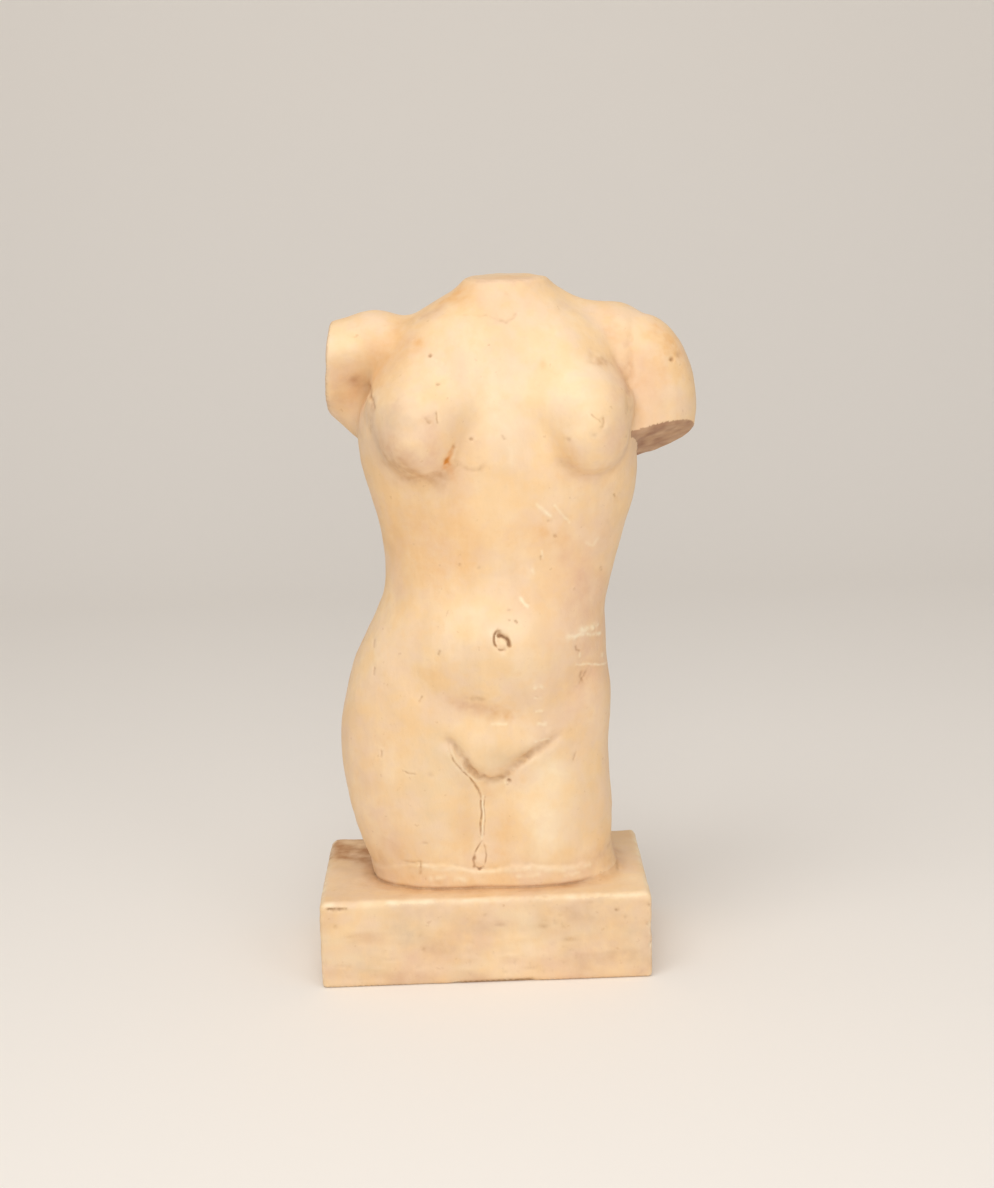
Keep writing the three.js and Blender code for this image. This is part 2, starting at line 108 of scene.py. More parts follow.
LEVEL = np.arange(50, 443.01, 0.25)
BODY_AT = [spline(BODY[:, 0], BODY[:, k], LEVEL) for k in range(1, 6)]
SPINE_AT = spline([60, 110, 150, 185, 240, 300, 360, 415, 443], [3, 3, 3, 7, 14, 21, 25, 27, 28], LEVEL)


def section(x, y, z):
    L, R, F, B, n = [np.interp(z, LEVEL, v) for v in BODY_AT]
    a = (R - L) / 2
    w = 0.5 + 0.5 * np.tanh(y / 9)
    b = -F + (B + F) * w
    u = np.abs(x - (L + R) / 2) / a + 1e-6
    v = np.abs(y) / b + 1e-6
    k = (u**n + v**n) ** (1 / n)
    return (k - 1) / (k ** (1 - n) * np.sqrt((u ** (n - 1) / a) ** 2 + (v ** (n - 1) / b) ** 2) + 1e-9)


def egg(x, y, z, c, r):
    X, Y, Z = x - c[0], y - c[1], z - c[2]
    k0 = np.sqrt((X / r[0]) ** 2 + (Y / r[1]) ** 2 + (Z / r[2]) ** 2) + 1e-9
    k1 = np.sqrt((X / r[0] ** 2) ** 2 + (Y / r[1] ** 2) ** 2 + (Z / r[2] ** 2) ** 2) + 1e-9
    return k0 * (k0 - 1) / k1


def limb(x, y, z, a, b, ra, rb):
    a, b = np.asarray(a, float), np.asarray(b, float)
    d = b - a
    t = np.clip(((x - a[0]) * d[0] + (y - a[1]) * d[1] + (z - a[2]) * d[2]) / (d @ d), 0, 1)
    return np.sqrt((x - a[0] - d[0] * t) ** 2 + (y - a[1] - d[1] * t) ** 2 + (z - a[2] - d[2] * t) ** 2) - ra - (rb - ra) * t


def plane(x, y, z, p, n):
    n = np.asarray(n, float)
    n = n / np.linalg.norm(n)
    return (x - p[0]) * n[0] + (y - p[1]) * n[1] + (z - p[2]) * n[2]


def swell(x, y, z, c, r, roll=0.0):
    X, Z = x - c[0], z - c[2]
    if roll:
        a = math.radians(roll)
        X, Z = X * math.cos(a) + Z * math.sin(a), -X * math.sin(a) + Z * math.cos(a)
    return np.exp(-((X / r[0]) ** 2 + ((y - c[1]) / r[1]) ** 2 + (Z / r[2]) ** 2))


def near_line(x, z, pts):
    """Distance to a bent line seen from the front, and how far along it (0 to 1)."""
    best = np.full(np.shape(x), 1e9)
    T = np.zeros(np.shape(x))
    n = len(pts) - 1
    for i in range(n):
        (ax, az), (bx, bz) = pts[i], pts[i + 1]
        dx, dz = bx - ax, bz - az
        t = np.clip(((x - ax) * dx + (z - az) * dz) / (dx * dx + dz * dz), 0, 1)
        d = np.hypot(x - ax - dx * t, z - az - dz * t)
        m = d < best
        best = np.where(m, d, best)
        T = np.where(m, (i + t) / n, T)
    return best, T


def line(x, z, pts, w):
    best, T = near_line(x, z, pts)
    f = np.clip(T / 0.22, 0, 1) * np.clip((1 - T) / 0.22, 0, 1)
    return np.exp(-((best / w) ** 2)) * f * f * (3 - 2 * f)


SEAT = [((-37, 29, 153), (42, 36, 42)), ((40, 28, 149), (41, 35, 41))]
THIGHS = [((-42, -45, 104), (25, 24, 40)), ((46, -45, 96), (24, 24, 42))]
BREASTS = [((-29.5, -39, 350), (27, 28, 28), (-16, -22, 390)), ((72.5, -38, 349), (24.8, 27, 28), (58, -22, 390))]
GROINS = [([(-24, 163), (-14.6, 152.7), (-6.1, 138.5), (1.5, 131)], 2.6),
          ([(56, 162), (39.9, 152.6), (28.5, 146.4), (17, 138.5), (6, 131)], 2.4)]
HOLLOWS = [((6, -52, 178), (17, 20, 9), 1.5, 0), ((-38, -46, 196), (10, 20, 22), 2.0, 25),
           ((62, -44, 190), (10, 20, 22), 1.8, -25), ((19.5, -40, 415), (8, 20, 6), 1.5, 0),
           ((-66, -14, 373), (8, 12, 8), 3.5, 0)]


def figure(x, y, z):
    f = 1 / (1 + np.exp((y + 8) / 10))
    k = 1 / (1 + np.exp(-(y - 10) / 10))
    d = section(x, y, z)
    seam = 11 + 15 * step(150, 192, z)
    for c, r in SEAT:
        d = join(d, egg(x, y, z, c, r), seam)
    d = join(d, egg(x, y, z, (12, -23, 214), (47, 34, 33)), 20.0)
    d = join(d, egg(x, y, z, (10, -25, 150), (44, 26, 25)), 12.0)
    for c, r in THIGHS:
        d = d - 2.8 * swell(x, y, z, c, r)
    d = join(d, join(limb(x, y, z, (-44, 7, 391), (16, 8, 392), 22, 23), limb(x, y, z, (90, 6, 398.5), (28, 8, 392), 24, 23), 10.0), 12.0)
    d = join(d, join(limb(x, y, z, (26, 9, 431), (-28, 8, 399), 15, 12), limb(x, y, z, (28, 9, 431), (82, 7, 404), 15, 12), 8.0), 10.0)
    for c, r, top in BREASTS:
        up = limb(x, y, z, (c[0], c[1] + 10, c[2] + 6), top, r[0] - 6, 12)
        d = join(d, up, 28.0)
        d = join(d, egg(x, y, z, c, r), 4.0 + 24.0 * step(-6, 24, z - c[2]))
    lean = 396.5 + 0.231 * (x + 58)
    s = limb(x, y, z, (-58, 4, 396.5), (-110, 1, 384.5), 25, 24)
    s = cut(s, -0.828 * (y - 2) - 0.562 * (z - lean) - 17.0, 5.0)
    s = join(s, limb(x, y, z, (-92, 19, 384.5), (-61, 19, 356.5), 17, 19.5), 7.0)
    s = cut(s, plane(x, y, z, (STUB_X, 0, 388), (-1, 0, STUB_LEAN)), 2.5)
    d = join(d, s, 5.0 + 8 * step(378, 400, z))
    a = join(egg(x, y, z, (109.5, -2, 358), (32.4, 28, 56)), limb(x, y, z, (94, 5, 391), (98, 4, 388), 26, 27), 8.0)
    a = cut(a, plane(x, y, z, ARM_AT, ARM_N), 2.0)
    d = join(d, a, 4.0)
    for pts, deep in GROINS:
        d = d + deep * line(x, z, pts, 3.4) * f
    mid = np.interp(z, [60, 90, 105, 118, 128, 140], [-3, -2, 0.4, 1.5, 3, 4])
    deep = np.interp(z, [50, 62, 90, 118, 128, 140], [0.5, 1.5, 4.0, 5.0, 4.0, 0])
    d = d + deep * np.exp(-(((x - mid) / 15.0) ** 2)) * f
    for c, r, deep, roll in HOLLOWS:
        d = d + deep * swell(x, y, z, c, r, roll)
    sx = np.interp(z, LEVEL, SPINE_AT)
    d = d + np.interp(z, [175, 200, 240, 320, 380, 410, 430], [0, 2.2, 4.2, 3.6, 3.0, 1.6, 0]) * np.exp(-(((x - sx) / 7.5) ** 2)) * k
    for m in (-1, 1):
        d = d - np.interp(z, [190, 225, 260, 310, 350], [0, 1.8, 1.8, 1.0, 0]) * np.exp(-(((x - sx - m * 19) / 11) ** 2)) * k
        d = d - 4.2 * swell(x, y, z, (23 + m * 42, 46, 366), (21, 18, 27), m * 14)
        d = d + 2.0 * swell(x, y, z, (23 + m * 20, 52, 352), (9, 18, 24), m * 20)
        d = d + 1.8 * swell(x, y, z, (10 + m * 17, 48, 201), (7, 16, 7))
    d = d + np.interp(z, [50, 80, 105, 125, 150, 178, 196], [3, 4, 6, 8.5, 8, 4, 0]) * np.exp(-(((x - 3) / (6.5 + 4 * step(120, 80, z))) ** 2)) * k
    for c in (-40, 43):
        d = d + 2.2 * np.exp(-(((z - 113 - 0.006 * (x - c) ** 2) / 5.5) ** 2)) * np.exp(-(((x - c) / 30) ** 4)) * k
    return cut(d, plane(x, y, z, (28, 0, NECK_Z), (0, -NECK_TILT, 1)), 3.6)


# =====================================================================
# Noise worked out from whole-number hashes, the same on every run
# =====================================================================
def lattice(i, j, k, seed):
    h = (i.astype(np.uint32) * np.uint32(374761393) + j.astype(np.uint32) * np.uint32(668265263)
         + k.astype(np.uint32) * np.uint32(2147483647) + np.uint32(seed * 1013904223 & 0xFFFFFFFF))
    h = (h ^ (h >> np.uint32(13))) * np.uint32(1274126177)
    h = (h ^ (h >> np.uint32(15))) * np.uint32(2246822519)
    h = h ^ (h >> np.uint32(16))
    return h.astype(np.float64) / 2147483647.5 - 1.0


def noise(x, y, z, size, seed, stretch=(1, 1, 1)):
    p = [np.asarray(a, float) / (size * s) + 517.3 for a, s in zip((x, y, z), stretch)]
    i = [np.floor(a).astype(np.int64) for a in p]
    f = [a - b for a, b in zip(p, i)]
    u = [t * t * t * (t * (t * 6 - 15) + 10) for t in f]
    out = 0.0
    for a in (0, 1):
        for b in (0, 1):
            for c in (0, 1):
                w = (u[0] if a else 1 - u[0]) * (u[1] if b else 1 - u[1]) * (u[2] if c else 1 - u[2])
                out = out + w * lattice(i[0] + a, i[1] + b, i[2] + c, seed)
    return out


# =====================================================================
# The whole: torso, squeezed band round its foot, and the plinth
# =====================================================================
# bites out of the plinth's edges: place, reach
CHIPS = [((-106.4, -61.4, 59.0), 3.4), ((-106.6, -61.6, 50.0), 2.8), ((-106.6, -61.7, 38.0), 2.4), ((-96.0, -62.0, 59.6), 2.6),
         ((105.9, -60.9, 58.0), 3.6), ((106.2, -61.1, 49.0), 3.0), ((106.0, -61.0, 36.0), 3.4), ((106.2, -61.2, 30.0), 2.6), ((106.0, -61.2, 22.0), 3.2),
         ((106.8, -61.8, 12.5), 2.8), ((-107.6, 30.0, 58.4), 3.6), ((-107.6, 12.0, 59.2), 3.0), ((-106.6, 55.0, 58.4), 4.5),
         ((62.0, 61.8, 58.8), 3.6), ((-30.0, 61.9, 58.6), 3.0), ((107.0, 20.0, 58.8), 3.4), ((106.8, 61.4, 40.0), 3.2),
         ((-20.0, -61.6, -1.4), 3.6), ((12.0, -61.8, -1.6), 3.4), ((28.0, -61.6, -1.5), 3.0), ((-106.8, -61.4, 8.0), 2.6),
         ((-106.9, -61.6, 22.0), 2.2), ((40.0, -61.9, 59.0), 2.2), ((-52.0, -62.0, 59.1), 2.0), ((10.0, -62.0, 59.4), 2.4)]


def plinth(x, y, z):
    X, Y = np.abs(x) - PLINTH_W / 2, np.abs(y) - PLINTH_D / 2
    Z = np.maximum(z - PLINTH_H, -z)
    d = cut(cut(X, Y, 2.2), Z, 2.6 + 1.4 * (z > 20))
    wear = 0.45 + 0.65 * noise(x, y, z, 13.0, 3) + 0.35 * noise(x, y, z, 4.5, 4)
    top = z - PLINTH_H
    for a, b, most in ((X, top, 1.0), (Y, top, 1.1), (X, Y, 0.45)):
        d = d + most * np.clip(wear, -0.1, 1.8) * np.exp(-(a * a + b * b) / 2.8**2)
    for c, r in CHIPS:
        near = (np.abs(x - c[0]) < r + 3) & (np.abs(y - c[1]) < r + 3) & (np.abs(z - c[2]) < r + 3)
        if near.any():
            q, w, e = x[near], y[near], z[near]
            bite = r - np.sqrt((q - c[0]) ** 2 + (w - c[1]) ** 2 + (e - c[2]) ** 2) + 1.1 * noise(q, w, e, 3.1, 6) + 0.4 * noise(q, w, e, 1.4, 7)
            d[near] = cut(d[near], bite, 0.6)
    return d


# uneven upper edge of the squeezed band round the foot
LIP_X = [-90, -66.6, -57.1, -47.2, -40.6, -27.9, -15.3, -5.9, 3.7, 16.6, 29.3, 48.5, 68.1, 90]
LIP_Z = [66.0, 68.2, 71.2, 73.6, 74.6, 73.6, 71.6, 68.5, 68.8, 71.2, 71.7, 70.1, 68.9, 66.5]


def whole(x, y, z):
    d = figure(x, y, z)
    wob = noise(x, y, z * 0 + 1.0, 17.0, 8) + 0.5 * noise(x, y, z * 0 + 1.0, 6.0, 9)
    top = z - PLINTH_H
    up = np.interp(x, LIP_X, LIP_Z) - PLINTH_H + 0.9 * noise(x, y, z * 0 + 3.0, 11.0, 10) + 0.6 * noise(x, y, z * 0 + 3.0, 4.0, 12)
    out = LIP_OUT + 0.45 * wob + 0.25 * noise(x, y, z, 5.0, 11) - 0.11 * np.clip(top, 0, 14)
    lip = cut(d - np.maximum(out, 0.3), top - up, 1.6)
    # shadow line under the band; it closes up on the figure's left, where the band is a soft fillet
    lip = lip + (0.8 * step(76, 56, x) + 0.15) * np.exp(-(((top - 0.5) / 0.9) ** 2)) * np.exp(-(((d - out) / 2.0) ** 2))
    d = join(d, lip, 1.8)
    d = cut(d, FOOT_Z - z, 1.0)
    return join(d, plinth(x, y, z), 0.9 + 7.0 * step(58, 84, x) + 2.0 * step(10, 40, y))


def slope(f, P, e=0.25):
    g = np.empty_like(P)
    for q in range(3):
        A, B = P.copy(), P.copy()
        A[:, q] += e
        B[:, q] -= e
        g[:, q] = (f(A[:, 0], A[:, 1], A[:, 2]) - f(B[:, 0], B[:, 1], B[:, 2])) / (2 * e)
    return g


def settle(P, rounds=2, most=1.2):
    for _ in range(rounds):
        v = whole(P[:, 0], P[:, 1], P[:, 2])
        g = slope(whole, P)
        n = np.sqrt((g**2).sum(1)) + 1e-9
        P = P - g * (np.clip(v / n, -most, most) / n)[:, None]
    return P


# =====================================================================
# Closed surface of the field, then finer triangles where the detail is
# =====================================================================
def surface(h, lo, hi):
    ax = [np.arange(a, b + h, h) for a, b in zip(lo, hi)]
    X, Y = np.meshgrid(ax[0], ax[1], indexing="ij")
    F = np.empty([len(a) for a in ax])
    for k in range(0, len(ax[2]), 16):
        zz = ax[2][k:k + 16]
        x, y = np.repeat(X[:, :, None], len(zz), 2), np.repeat(Y[:, :, None], len(zz), 2)
        z = np.broadcast_to(zz, x.shape).copy()
        F[:, :, k:k + 16] = whole(x.ravel(), y.ravel(), z.ravel()).reshape(x.shape)
    nx, ny, nz = F.shape
    ins = F < 0
    cnt = np.zeros((nx - 1, ny - 1, nz - 1), np.int8)
    for i in (0, 1):
        for j in (0, 1):
            for k in (0, 1):
                cnt += ins[i:nx - 1 + i, j:ny - 1 + j, k:nz - 1 + k]
    act = (cnt > 0) & (cnt < 8)
    I = np.argwhere(act)
    idx = np.full(act.shape, -1, np.int64)
    idx[act] = np.arange(len(I))
    acc, num = np.zeros((len(I), 3)), np.zeros(len(I))
    for d in range(3):
        o = [q for q in range(3) if q != d]
        for a in (0, 1):
            for b in (0, 1):
                A = I.copy()
                A[:, o[0]] += a
                A[:, o[1]] += b
                B = A.copy()
                B[:, d] += 1
                fa, fb = F[A[:, 0], A[:, 1], A[:, 2]], F[B[:, 0], B[:, 1], B[:, 2]]
                s = (fa < 0) != (fb < 0)
                t = np.where(s, fa / np.where(s, fa - fb, 1), 0)
                for q in range(3):
                    ca, cb = ax[q][A[:, q]], ax[q][B[:, q]]
                    acc[:, q] += np.where(s, ca + (cb - ca) * t, 0)
                num += s
    V = acc / num[:, None]
    quads = []
    size = [nx, ny, nz]
    for d in range(3):
        o = [(d + 1) % 3, (d + 2) % 3]
        sl, s2 = [slice(None)] * 3, [slice(None)] * 3
        sl[d], s2[d] = slice(0, -1), slice(1, None)
        a, b = ins[tuple(sl)], ins[tuple(s2)]
        for up in (0, 1):
            e = np.argwhere((a & ~b) if up else (~a & b))
            e = e[(e[:, o[0]] > 0) & (e[:, o[1]] > 0) & (e[:, o[0]] < size[o[0]] - 1) & (e[:, o[1]] < size[o[1]] - 1)]
            q = []
            for da, db in ((-1, -1), (0, -1), (0, 0), (-1, 0)):
                c = e.copy()
                c[:, o[0]] += da
                c[:, o[1]] += db
                q.append(idx[c[:, 0], c[:, 1], c[:, 2]])
            q = np.stack(q, 1)
            quads.append(q if up else q[:, ::-1])
    Q = np.concatenate(quads)
    d1 = np.linalg.norm(V[Q[:, 0]] - V[Q[:, 2]], axis=1)
    d2 = np.linalg.norm(V[Q[:, 1]] - V[Q[:, 3]], axis=1)
    m = d1 <= d2
    T = np.concatenate([Q[m][:, [0, 1, 2]], Q[m][:, [0, 2, 3]], Q[~m][:, [0, 1, 3]], Q[~m][:, [1, 2, 3]]])
    return V, T


def edges(T, n):
    E = np.sort(np.concatenate([T[:, [0, 1]], T[:, [1, 2]], T[:, [2, 0]]]), 1).astype(np.int64)
    uk, inv, cnt = np.unique(E[:, 0] * n + E[:, 1], return_inverse=True, return_counts=True)
    return uk // n, uk % n, inv.reshape(3, -1).T, cnt


def relax(V, T, rounds=1):
    """Evens out the triangles, sliding points along the surface only."""
    for _ in range(rounds):
        a, b, _i, _c = edges(T, len(V))
        deg = np.bincount(a, minlength=len(V)) + np.bincount(b, minlength=len(V))
        mid = np.empty_like(V)
        for q in range(3):
            mid[:, q] = np.bincount(a, V[b, q], len(V)) + np.bincount(b, V[a, q], len(V))
        mv = mid / deg[:, None] - V
        n = normals(V, T)
        mv = mv - n * (mv * n).sum(1)[:, None]
        V = V + 0.55 * mv
    return V


def normals(V, T):
    f = np.cross(V[T[:, 1]] - V[T[:, 0]], V[T[:, 2]] - V[T[:, 0]])
    n = np.zeros_like(V)
    for c in range(3):
        for q in range(3):
            n[:, q] += np.bincount(T[:, c], f[:, q], len(V))
    return n / (np.linalg.norm(n, axis=1)[:, None] + 1e-12)


def refine(V, T, goal):
    a, b, inv, _ = edges(T, len(V))
    mid = (V[a] + V[b]) / 2
    L = np.linalg.norm(V[a] - V[b], axis=1)
    hit = L > 1.36 * goal(mid)
    n0 = len(V)
    new = np.full(len(a), -1, np.int64)
    new[hit] = n0 + np.arange(hit.sum())
    m = new[inv]
    s = m >= 0
    n = s.sum(1)
    out = [T[n == 0]]
    V = np.concatenate([V, mid[hit]])
    for k in range(3):
        q = (n == 1) & s[:, k]
        t, w = np.roll(T[q], -k, 1), m[q, k]
        out += [np.stack([t[:, 0], w, t[:, 2]], 1), np.stack([w, t[:, 1], t[:, 2]], 1)]
        q = (n == 2) & ~s[:, k]
        t, w = np.roll(T[q], -k, 1), np.roll(m[q], -k, 1)
        out.append(np.stack([t[:, 2], w[:, 2], w[:, 1]], 1))
        one = np.linalg.norm(V[t[:, 0]] - V[w[:, 1]], axis=1) <= np.linalg.norm(V[t[:, 1]] - V[w[:, 2]], axis=1)
        u, p = t[one], w[one]
        out += [np.stack([u[:, 0], u[:, 1], p[:, 1]], 1), np.stack([u[:, 0], p[:, 1], p[:, 2]], 1)]
        u, p = t[~one], w[~one]
        out += [np.stack([u[:, 0], u[:, 1], p[:, 2]], 1), np.stack([u[:, 1], p[:, 1], p[:, 2]], 1)]
    q = n == 3
    t, w = T[q], m[q]
    out += [np.stack([t[:, 0], w[:, 0], w[:, 2]], 1), np.stack([w[:, 0], t[:, 1], w[:, 1]], 1),
            np.stack([w[:, 2], w[:, 1], t[:, 2]], 1), w]
    return V, np.concatenate(out), n0


# =====================================================================
# Lines, pits and marks of the front: (points as x,z), half width, depth, darkening in it (dirt, and painted shade in
# the creases)
# =====================================================================
LINES = [
    # navel
    ([(13.2, 230.4), (11.5, 227.5), (10.8, 224.0), (11.0, 221.0), (12.5, 218.5)], 0.62, 1.6, 0.8),
    ([(12.5, 218.3), (14.6, 217.6), (17.0, 217.9)], 0.55, 0.6, 0.4),
    ([(12.4, 226.6), (13.8, 226.6), (15.8, 226.2), (17.9, 224.9), (19.6, 222.7), (20.5, 220.0), (19.8, 218.2)], 1.15, 2.0, 1.0),
    ([(13.4, 230.6), (13.6, 228.4), (14.6, 226.4)], 1.7, 0.8, 0.55),
    # lower edge of the belly and the groins
    ([(-19.1, 158.9), (-16.1, 154.9), (-12.6, 149.7), (-9.1, 143.0), (-6.1, 137.9), (-1.8, 133.3), (3.1, 131.2)], 1.8, 0.8, 0.3),
    ([(-9.1, 143.0), (-6.1, 137.9), (-1.8, 133.3), (3.1, 130.6), (8.1, 130.0), (12.5, 131.1), (17.0, 135.3), (20.9, 139.4)], 2.0, 1.3, 0.42),
    ([(12.5, 131.1), (17.0, 135.3), (21.5, 140.0), (27.3, 143.8), (33.0, 148.4), (40.7, 152.1), (48.4, 155.7), (55.5, 158.0)], 2.6, 0.8, 0.16),
    ([(20.0, 139.0), (24.4, 143.0), (28.6, 145.6), (32.8, 148.6)], 1.3, 0.4, 0.2),
    ([(-19.8, 156.9), (-18.8, 150.9), (-15.9, 143.7), (-11.7, 138.8), (-7.5, 133.4), (-4.5, 127.9), (-1.6, 122.6), (0.2, 117.6)], 0.75, 0.6, 0.36),
    ([(-8.0, 135.0), (-4.5, 128.4), (-1.6, 122.6), (-0.2, 117.6)], 0.8, 0.5, 0.3),
    # line between the thighs, and the small incised drop at its foot
    ([(-0.3, 121.1), (-0.9, 114.3), (-0.1, 108.2), (-1.3, 100.1), (-1.2, 93.2), (-0.7, 88.5)], 0.62, 0.85, 0.46),
    ([(2.1, 119.5), (1.3, 112.2), (1.7, 104.1), (0.8, 95.9), (-0.1, 89.1)], 0.5, 0.4, 0.22),
    ([(-0.7, 88.5), (-3.4, 84.5), (-5.8, 79.9)], 0.6, 0.6, 0.42),
    ([(-5.2, 80.9), (-6.5, 75.2), (-6.0, 71.2), (-3.3, 69.5), (-0.4, 71.1)], 0.8, 1.2, 0.72),
    ([(-0.1, 88.4), (1.0, 83.7), (1.8, 78.9), (1.0, 74.2), (-0.2, 71.3)], 0.55, 0.5, 0.34),
    # under the breasts
    ([(-50.0, 342.7), (-47.3, 335.7), (-42.4, 329.1), (-35.5, 323.8), (-28.4, 321.6), (-20.5, 322.2), (-13.8, 323.9)], 3.0, 0.6, 0.0),
    ([(-9.8, 334.6), (-5.7, 330.0), (-0.4, 327.3), (5.1, 327.8), (10.0, 331.9)], 1.5, 0.35, 0.12),
    ([(46.9, 339.7), (51.6, 331.6), (57.6, 325.7), (64.2, 321.5), (73.5, 318.9), (83.0, 318.5), (90.7, 322.5)], 3.4, 0.5, 0.0),
    ([(-19.2, 365.5), (-18.8, 361.4), (-18.3, 356.7)], 0.7, 0.45, 0.28), ([(-26.4, 362.4), (-24.1, 359.4), (-21.8, 358.1)], 1.0, 0.4, 0.22),
    ([(79.5, 359.4), (80.0, 355.8), (78.6, 351.2)], 0.9, 0.5, 0.22), ([(71.2, 362.0), (73.5, 359.0), (76.4, 357.2), (78.7, 354.2)], 0.8, 0.35, 0.15),
    # right stub: fold towards the armpit, and the edge of the old paint
    ([(-65.8, 377.1), (-60.8, 375.8), (-58.6, 371.9), (-58.0, 367.5), (-58.5, 362.2)], 1.6, 1.1, 0.3),
    ([(-58.5, 362.2), (-60.2, 355.8), (-61.8, 347.2)], 1.6, 0.8, 0.2),
    # left arm against the chest
    ([(101.5, 412.9), (99.4, 403.1), (98.3, 393.2), (98.3, 382.4), (97.6, 373.5), (97.0, 366.0), (97.2, 357.8), (98.8, 348.8)], 2.2, 1.1, 0.08),
    # collar and neck
    ([(-41.7, 413.8), (-36.8, 415.3), (-30.4, 416.7)], 1.8, 0.45, 0.12), ([(-31.4, 416.4), (-22.9, 420.2), (-14.8, 423.6)], 2.2, 0.7, 0.2),
    ([(-6.4, 418.6), (2.7, 419.0), (12.9, 418.2), (18.8, 415.7)], 0.9, 0.2, 0.1),
    ([(18.8, 415.7), (23.6, 414.4), (29.1, 417.1), (31.1, 420.5)], 1.1, 0.45, 0.26),
    ([(23.1, 431.1), (27.3, 430.4)], 1.4, 0.35, 0.2), ([(74.9, 395.2), (75.6, 391.3), (78.6, 389.4)], 2.6, 0.7, 0.06),
    # small knocks
    ([(19.3, 349.0), (21.4, 345.0)], 1.0, 0.35, 0.14), ([(-64.0, 219.6), (-65.2, 213.0)], 0.9, 0.4, 0.3),
    ([(-64.6, 203.4), (-65.2, 197.0)], 0.9, 0.4, 0.24), ([(-34.8, 187.2), (-36.8, 183.0)], 0.8, 0.55, 0.5),
    ([(-22.4, 218.0), (-24.2, 213.4)], 0.9, 0.4, 0.34), ([(-48.9, 137.9), (-45.0, 136.7), (-40.2, 135.9)], 0.7, 0.35, 0.3),
    ([(-62.2, 151.0), (-62.6, 145.0)], 0.8, 0.35, 0.18), ([(60.8, 145.0), (58.2, 138.6)], 0.9, 0.4, 0.24),
    ([(23.6, 235.2), (26.0, 232.8)], 0.9, 0.5, 0.4), ([(19.4, 235.2), (21.6, 234.8)], 0.8, 0.3, 0.2),
    ([(49.2, 285.6), (51.2, 283.6)], 1.1, 0.4, 0.3), ([(41.6, 273.6), (41.4, 270.0)], 0.9, 0.4, 0.34),
    ([(44.6, 294.4), (49.0, 294.0)], 1.0, 0.3, 0.22), ([(-8.4, 270.0), (-9.4, 267.0)], 0.9, 0.35, 0.26),
    ([(61.8, 216.0), (62.6, 211.6), (64.6, 209.6)], 0.9, 0.4, 0.34), ([(66.0, 198.0), (65.0, 193.0), (67.0, 188.0)], 1.1, 0.4, 0.32),
    ([(70.0, 199.0), (67.0, 193.0), (62.6, 187.4)], 0.9, 0.35, 0.22), ([(-6.4, 184.8), (-1.4, 185.4), (5.3, 183.7)], 1.5, 0.35, 0.26),
    ([(87.6, 307.8), (88.6, 305.0)], 0.9, 0.4, 0.4), ([(78.6, 262.0), (79.4, 258.4)], 1.1, 0.4, 0.34),
    ([(-40.4, 76.4), (-40.6, 70.0), (-41.2, 66.0)], 0.8, 0.5, 0.26), ([(-53.5, 76.0), (-45.0, 75.6), (-38.0, 76.4)], 0.8, 0.3, 0.16),
]
# small round features: x, z, reach x, reach z, height, darkening (dirt, and painted shade in the pits)
DOTS = [
    (15.9, 221.2, 3.6, 3.2, 1.7, 0.0), (14.2, 227.6, 1.6, 1.8, -0.9, 0.45), (17.3, 129.6, 1.7, 1.6, -1.7, 0.85), (15.0, 128.0, 1.6, 1.0, 0.3, 0.0), (-2.6, 75.2, 2.7, 3.7, 0.8, 0.0),
    (-24.0, 361.4, 4.2, 4.4, 0.55, 0.0), (74.8, 355.6, 4.4, 4.8, 0.75, 0.0), (74.0, 348.4, 1.6, 1.4, -0.3, 0.2),
    (0.8, 346.6, 1.4, 1.2, -0.5, 0.5), (3.6, 346.4, 1.2, 1.0, 0.25, 0.0), (-9.2, 343.0, 1.1, 1.6, -0.35, 0.3), (58.7, 345.8, 1.9, 1.6, -0.35, 0.3),
    (-13.4, 333.7, 1.5, 2.4, -0.7, 0.35), (-17.6, 380.4, 1.6, 1.0, -0.4, 0.5), (-22.0, 396.3, 1.1, 1.1, -0.9, 0.7),
    (13.5, 401.5, 0.9, 0.7, -0.25, 0.3), (125.1, 387.6, 1.4, 1.3, -1.2, 0.85), (130.2, 390.3, 2.2, 2.2, -0.35, 0.3),
    (-31.8, 135.6, 2.4, 2.2, -0.35, 0.25), (-36.8, 89.8, 1.8, 1.0, -0.3, 0.2), (87.2, 58.9, 1.2, 1.2, -0.4, 0.4), (81.6, 74.2, 2.0, 1.8, -0.3, 0.3),
    (3.1, 266.8, 1.4, 1.2, -0.25, 0.15), (20.6, 241.0, 1.6, 1.0, -0.25, 0.15),
    # lumps and scars left by the modelling
    (-33.5, 362.1, 5.0, 3.4, 0.30, 0.0), (-36.0, 345.0, 7.0, 5.0, 0.35, 0.0), (-22.0, 342.0, 4.0, 7.0, -0.30, 0.0), (62.0, 336.0, 6.0, 5.0, -0.30, 0.0),
    (58.0, 330.0, 3.0, 3.6, -0.35, 0.0), (113.0, 366.0, 6.0, 9.0, 0.35, 0.0), (121.0, 378.0, 5.0, 4.0, -0.3, 0.0), (104.0, 388.0, 3.4, 7.0, 0.35, 0.0),
    (-73.0, 378.0, 6.0, 3.4, -0.45, 0.0), (66.0, 193.0, 5.0, 8.0, -0.3, 0.0), (73.0, 205.0, 4.0, 4.0, 0.25, 0.0), (13.0, 176.0, 8.0, 5.0, -0.3, 0.0),
    (-4.0, 179.0, 7.0, 4.0, -0.35, 0.0), (20.0, 168.0, 5.0, 3.0, 0.3, 0.0),
]
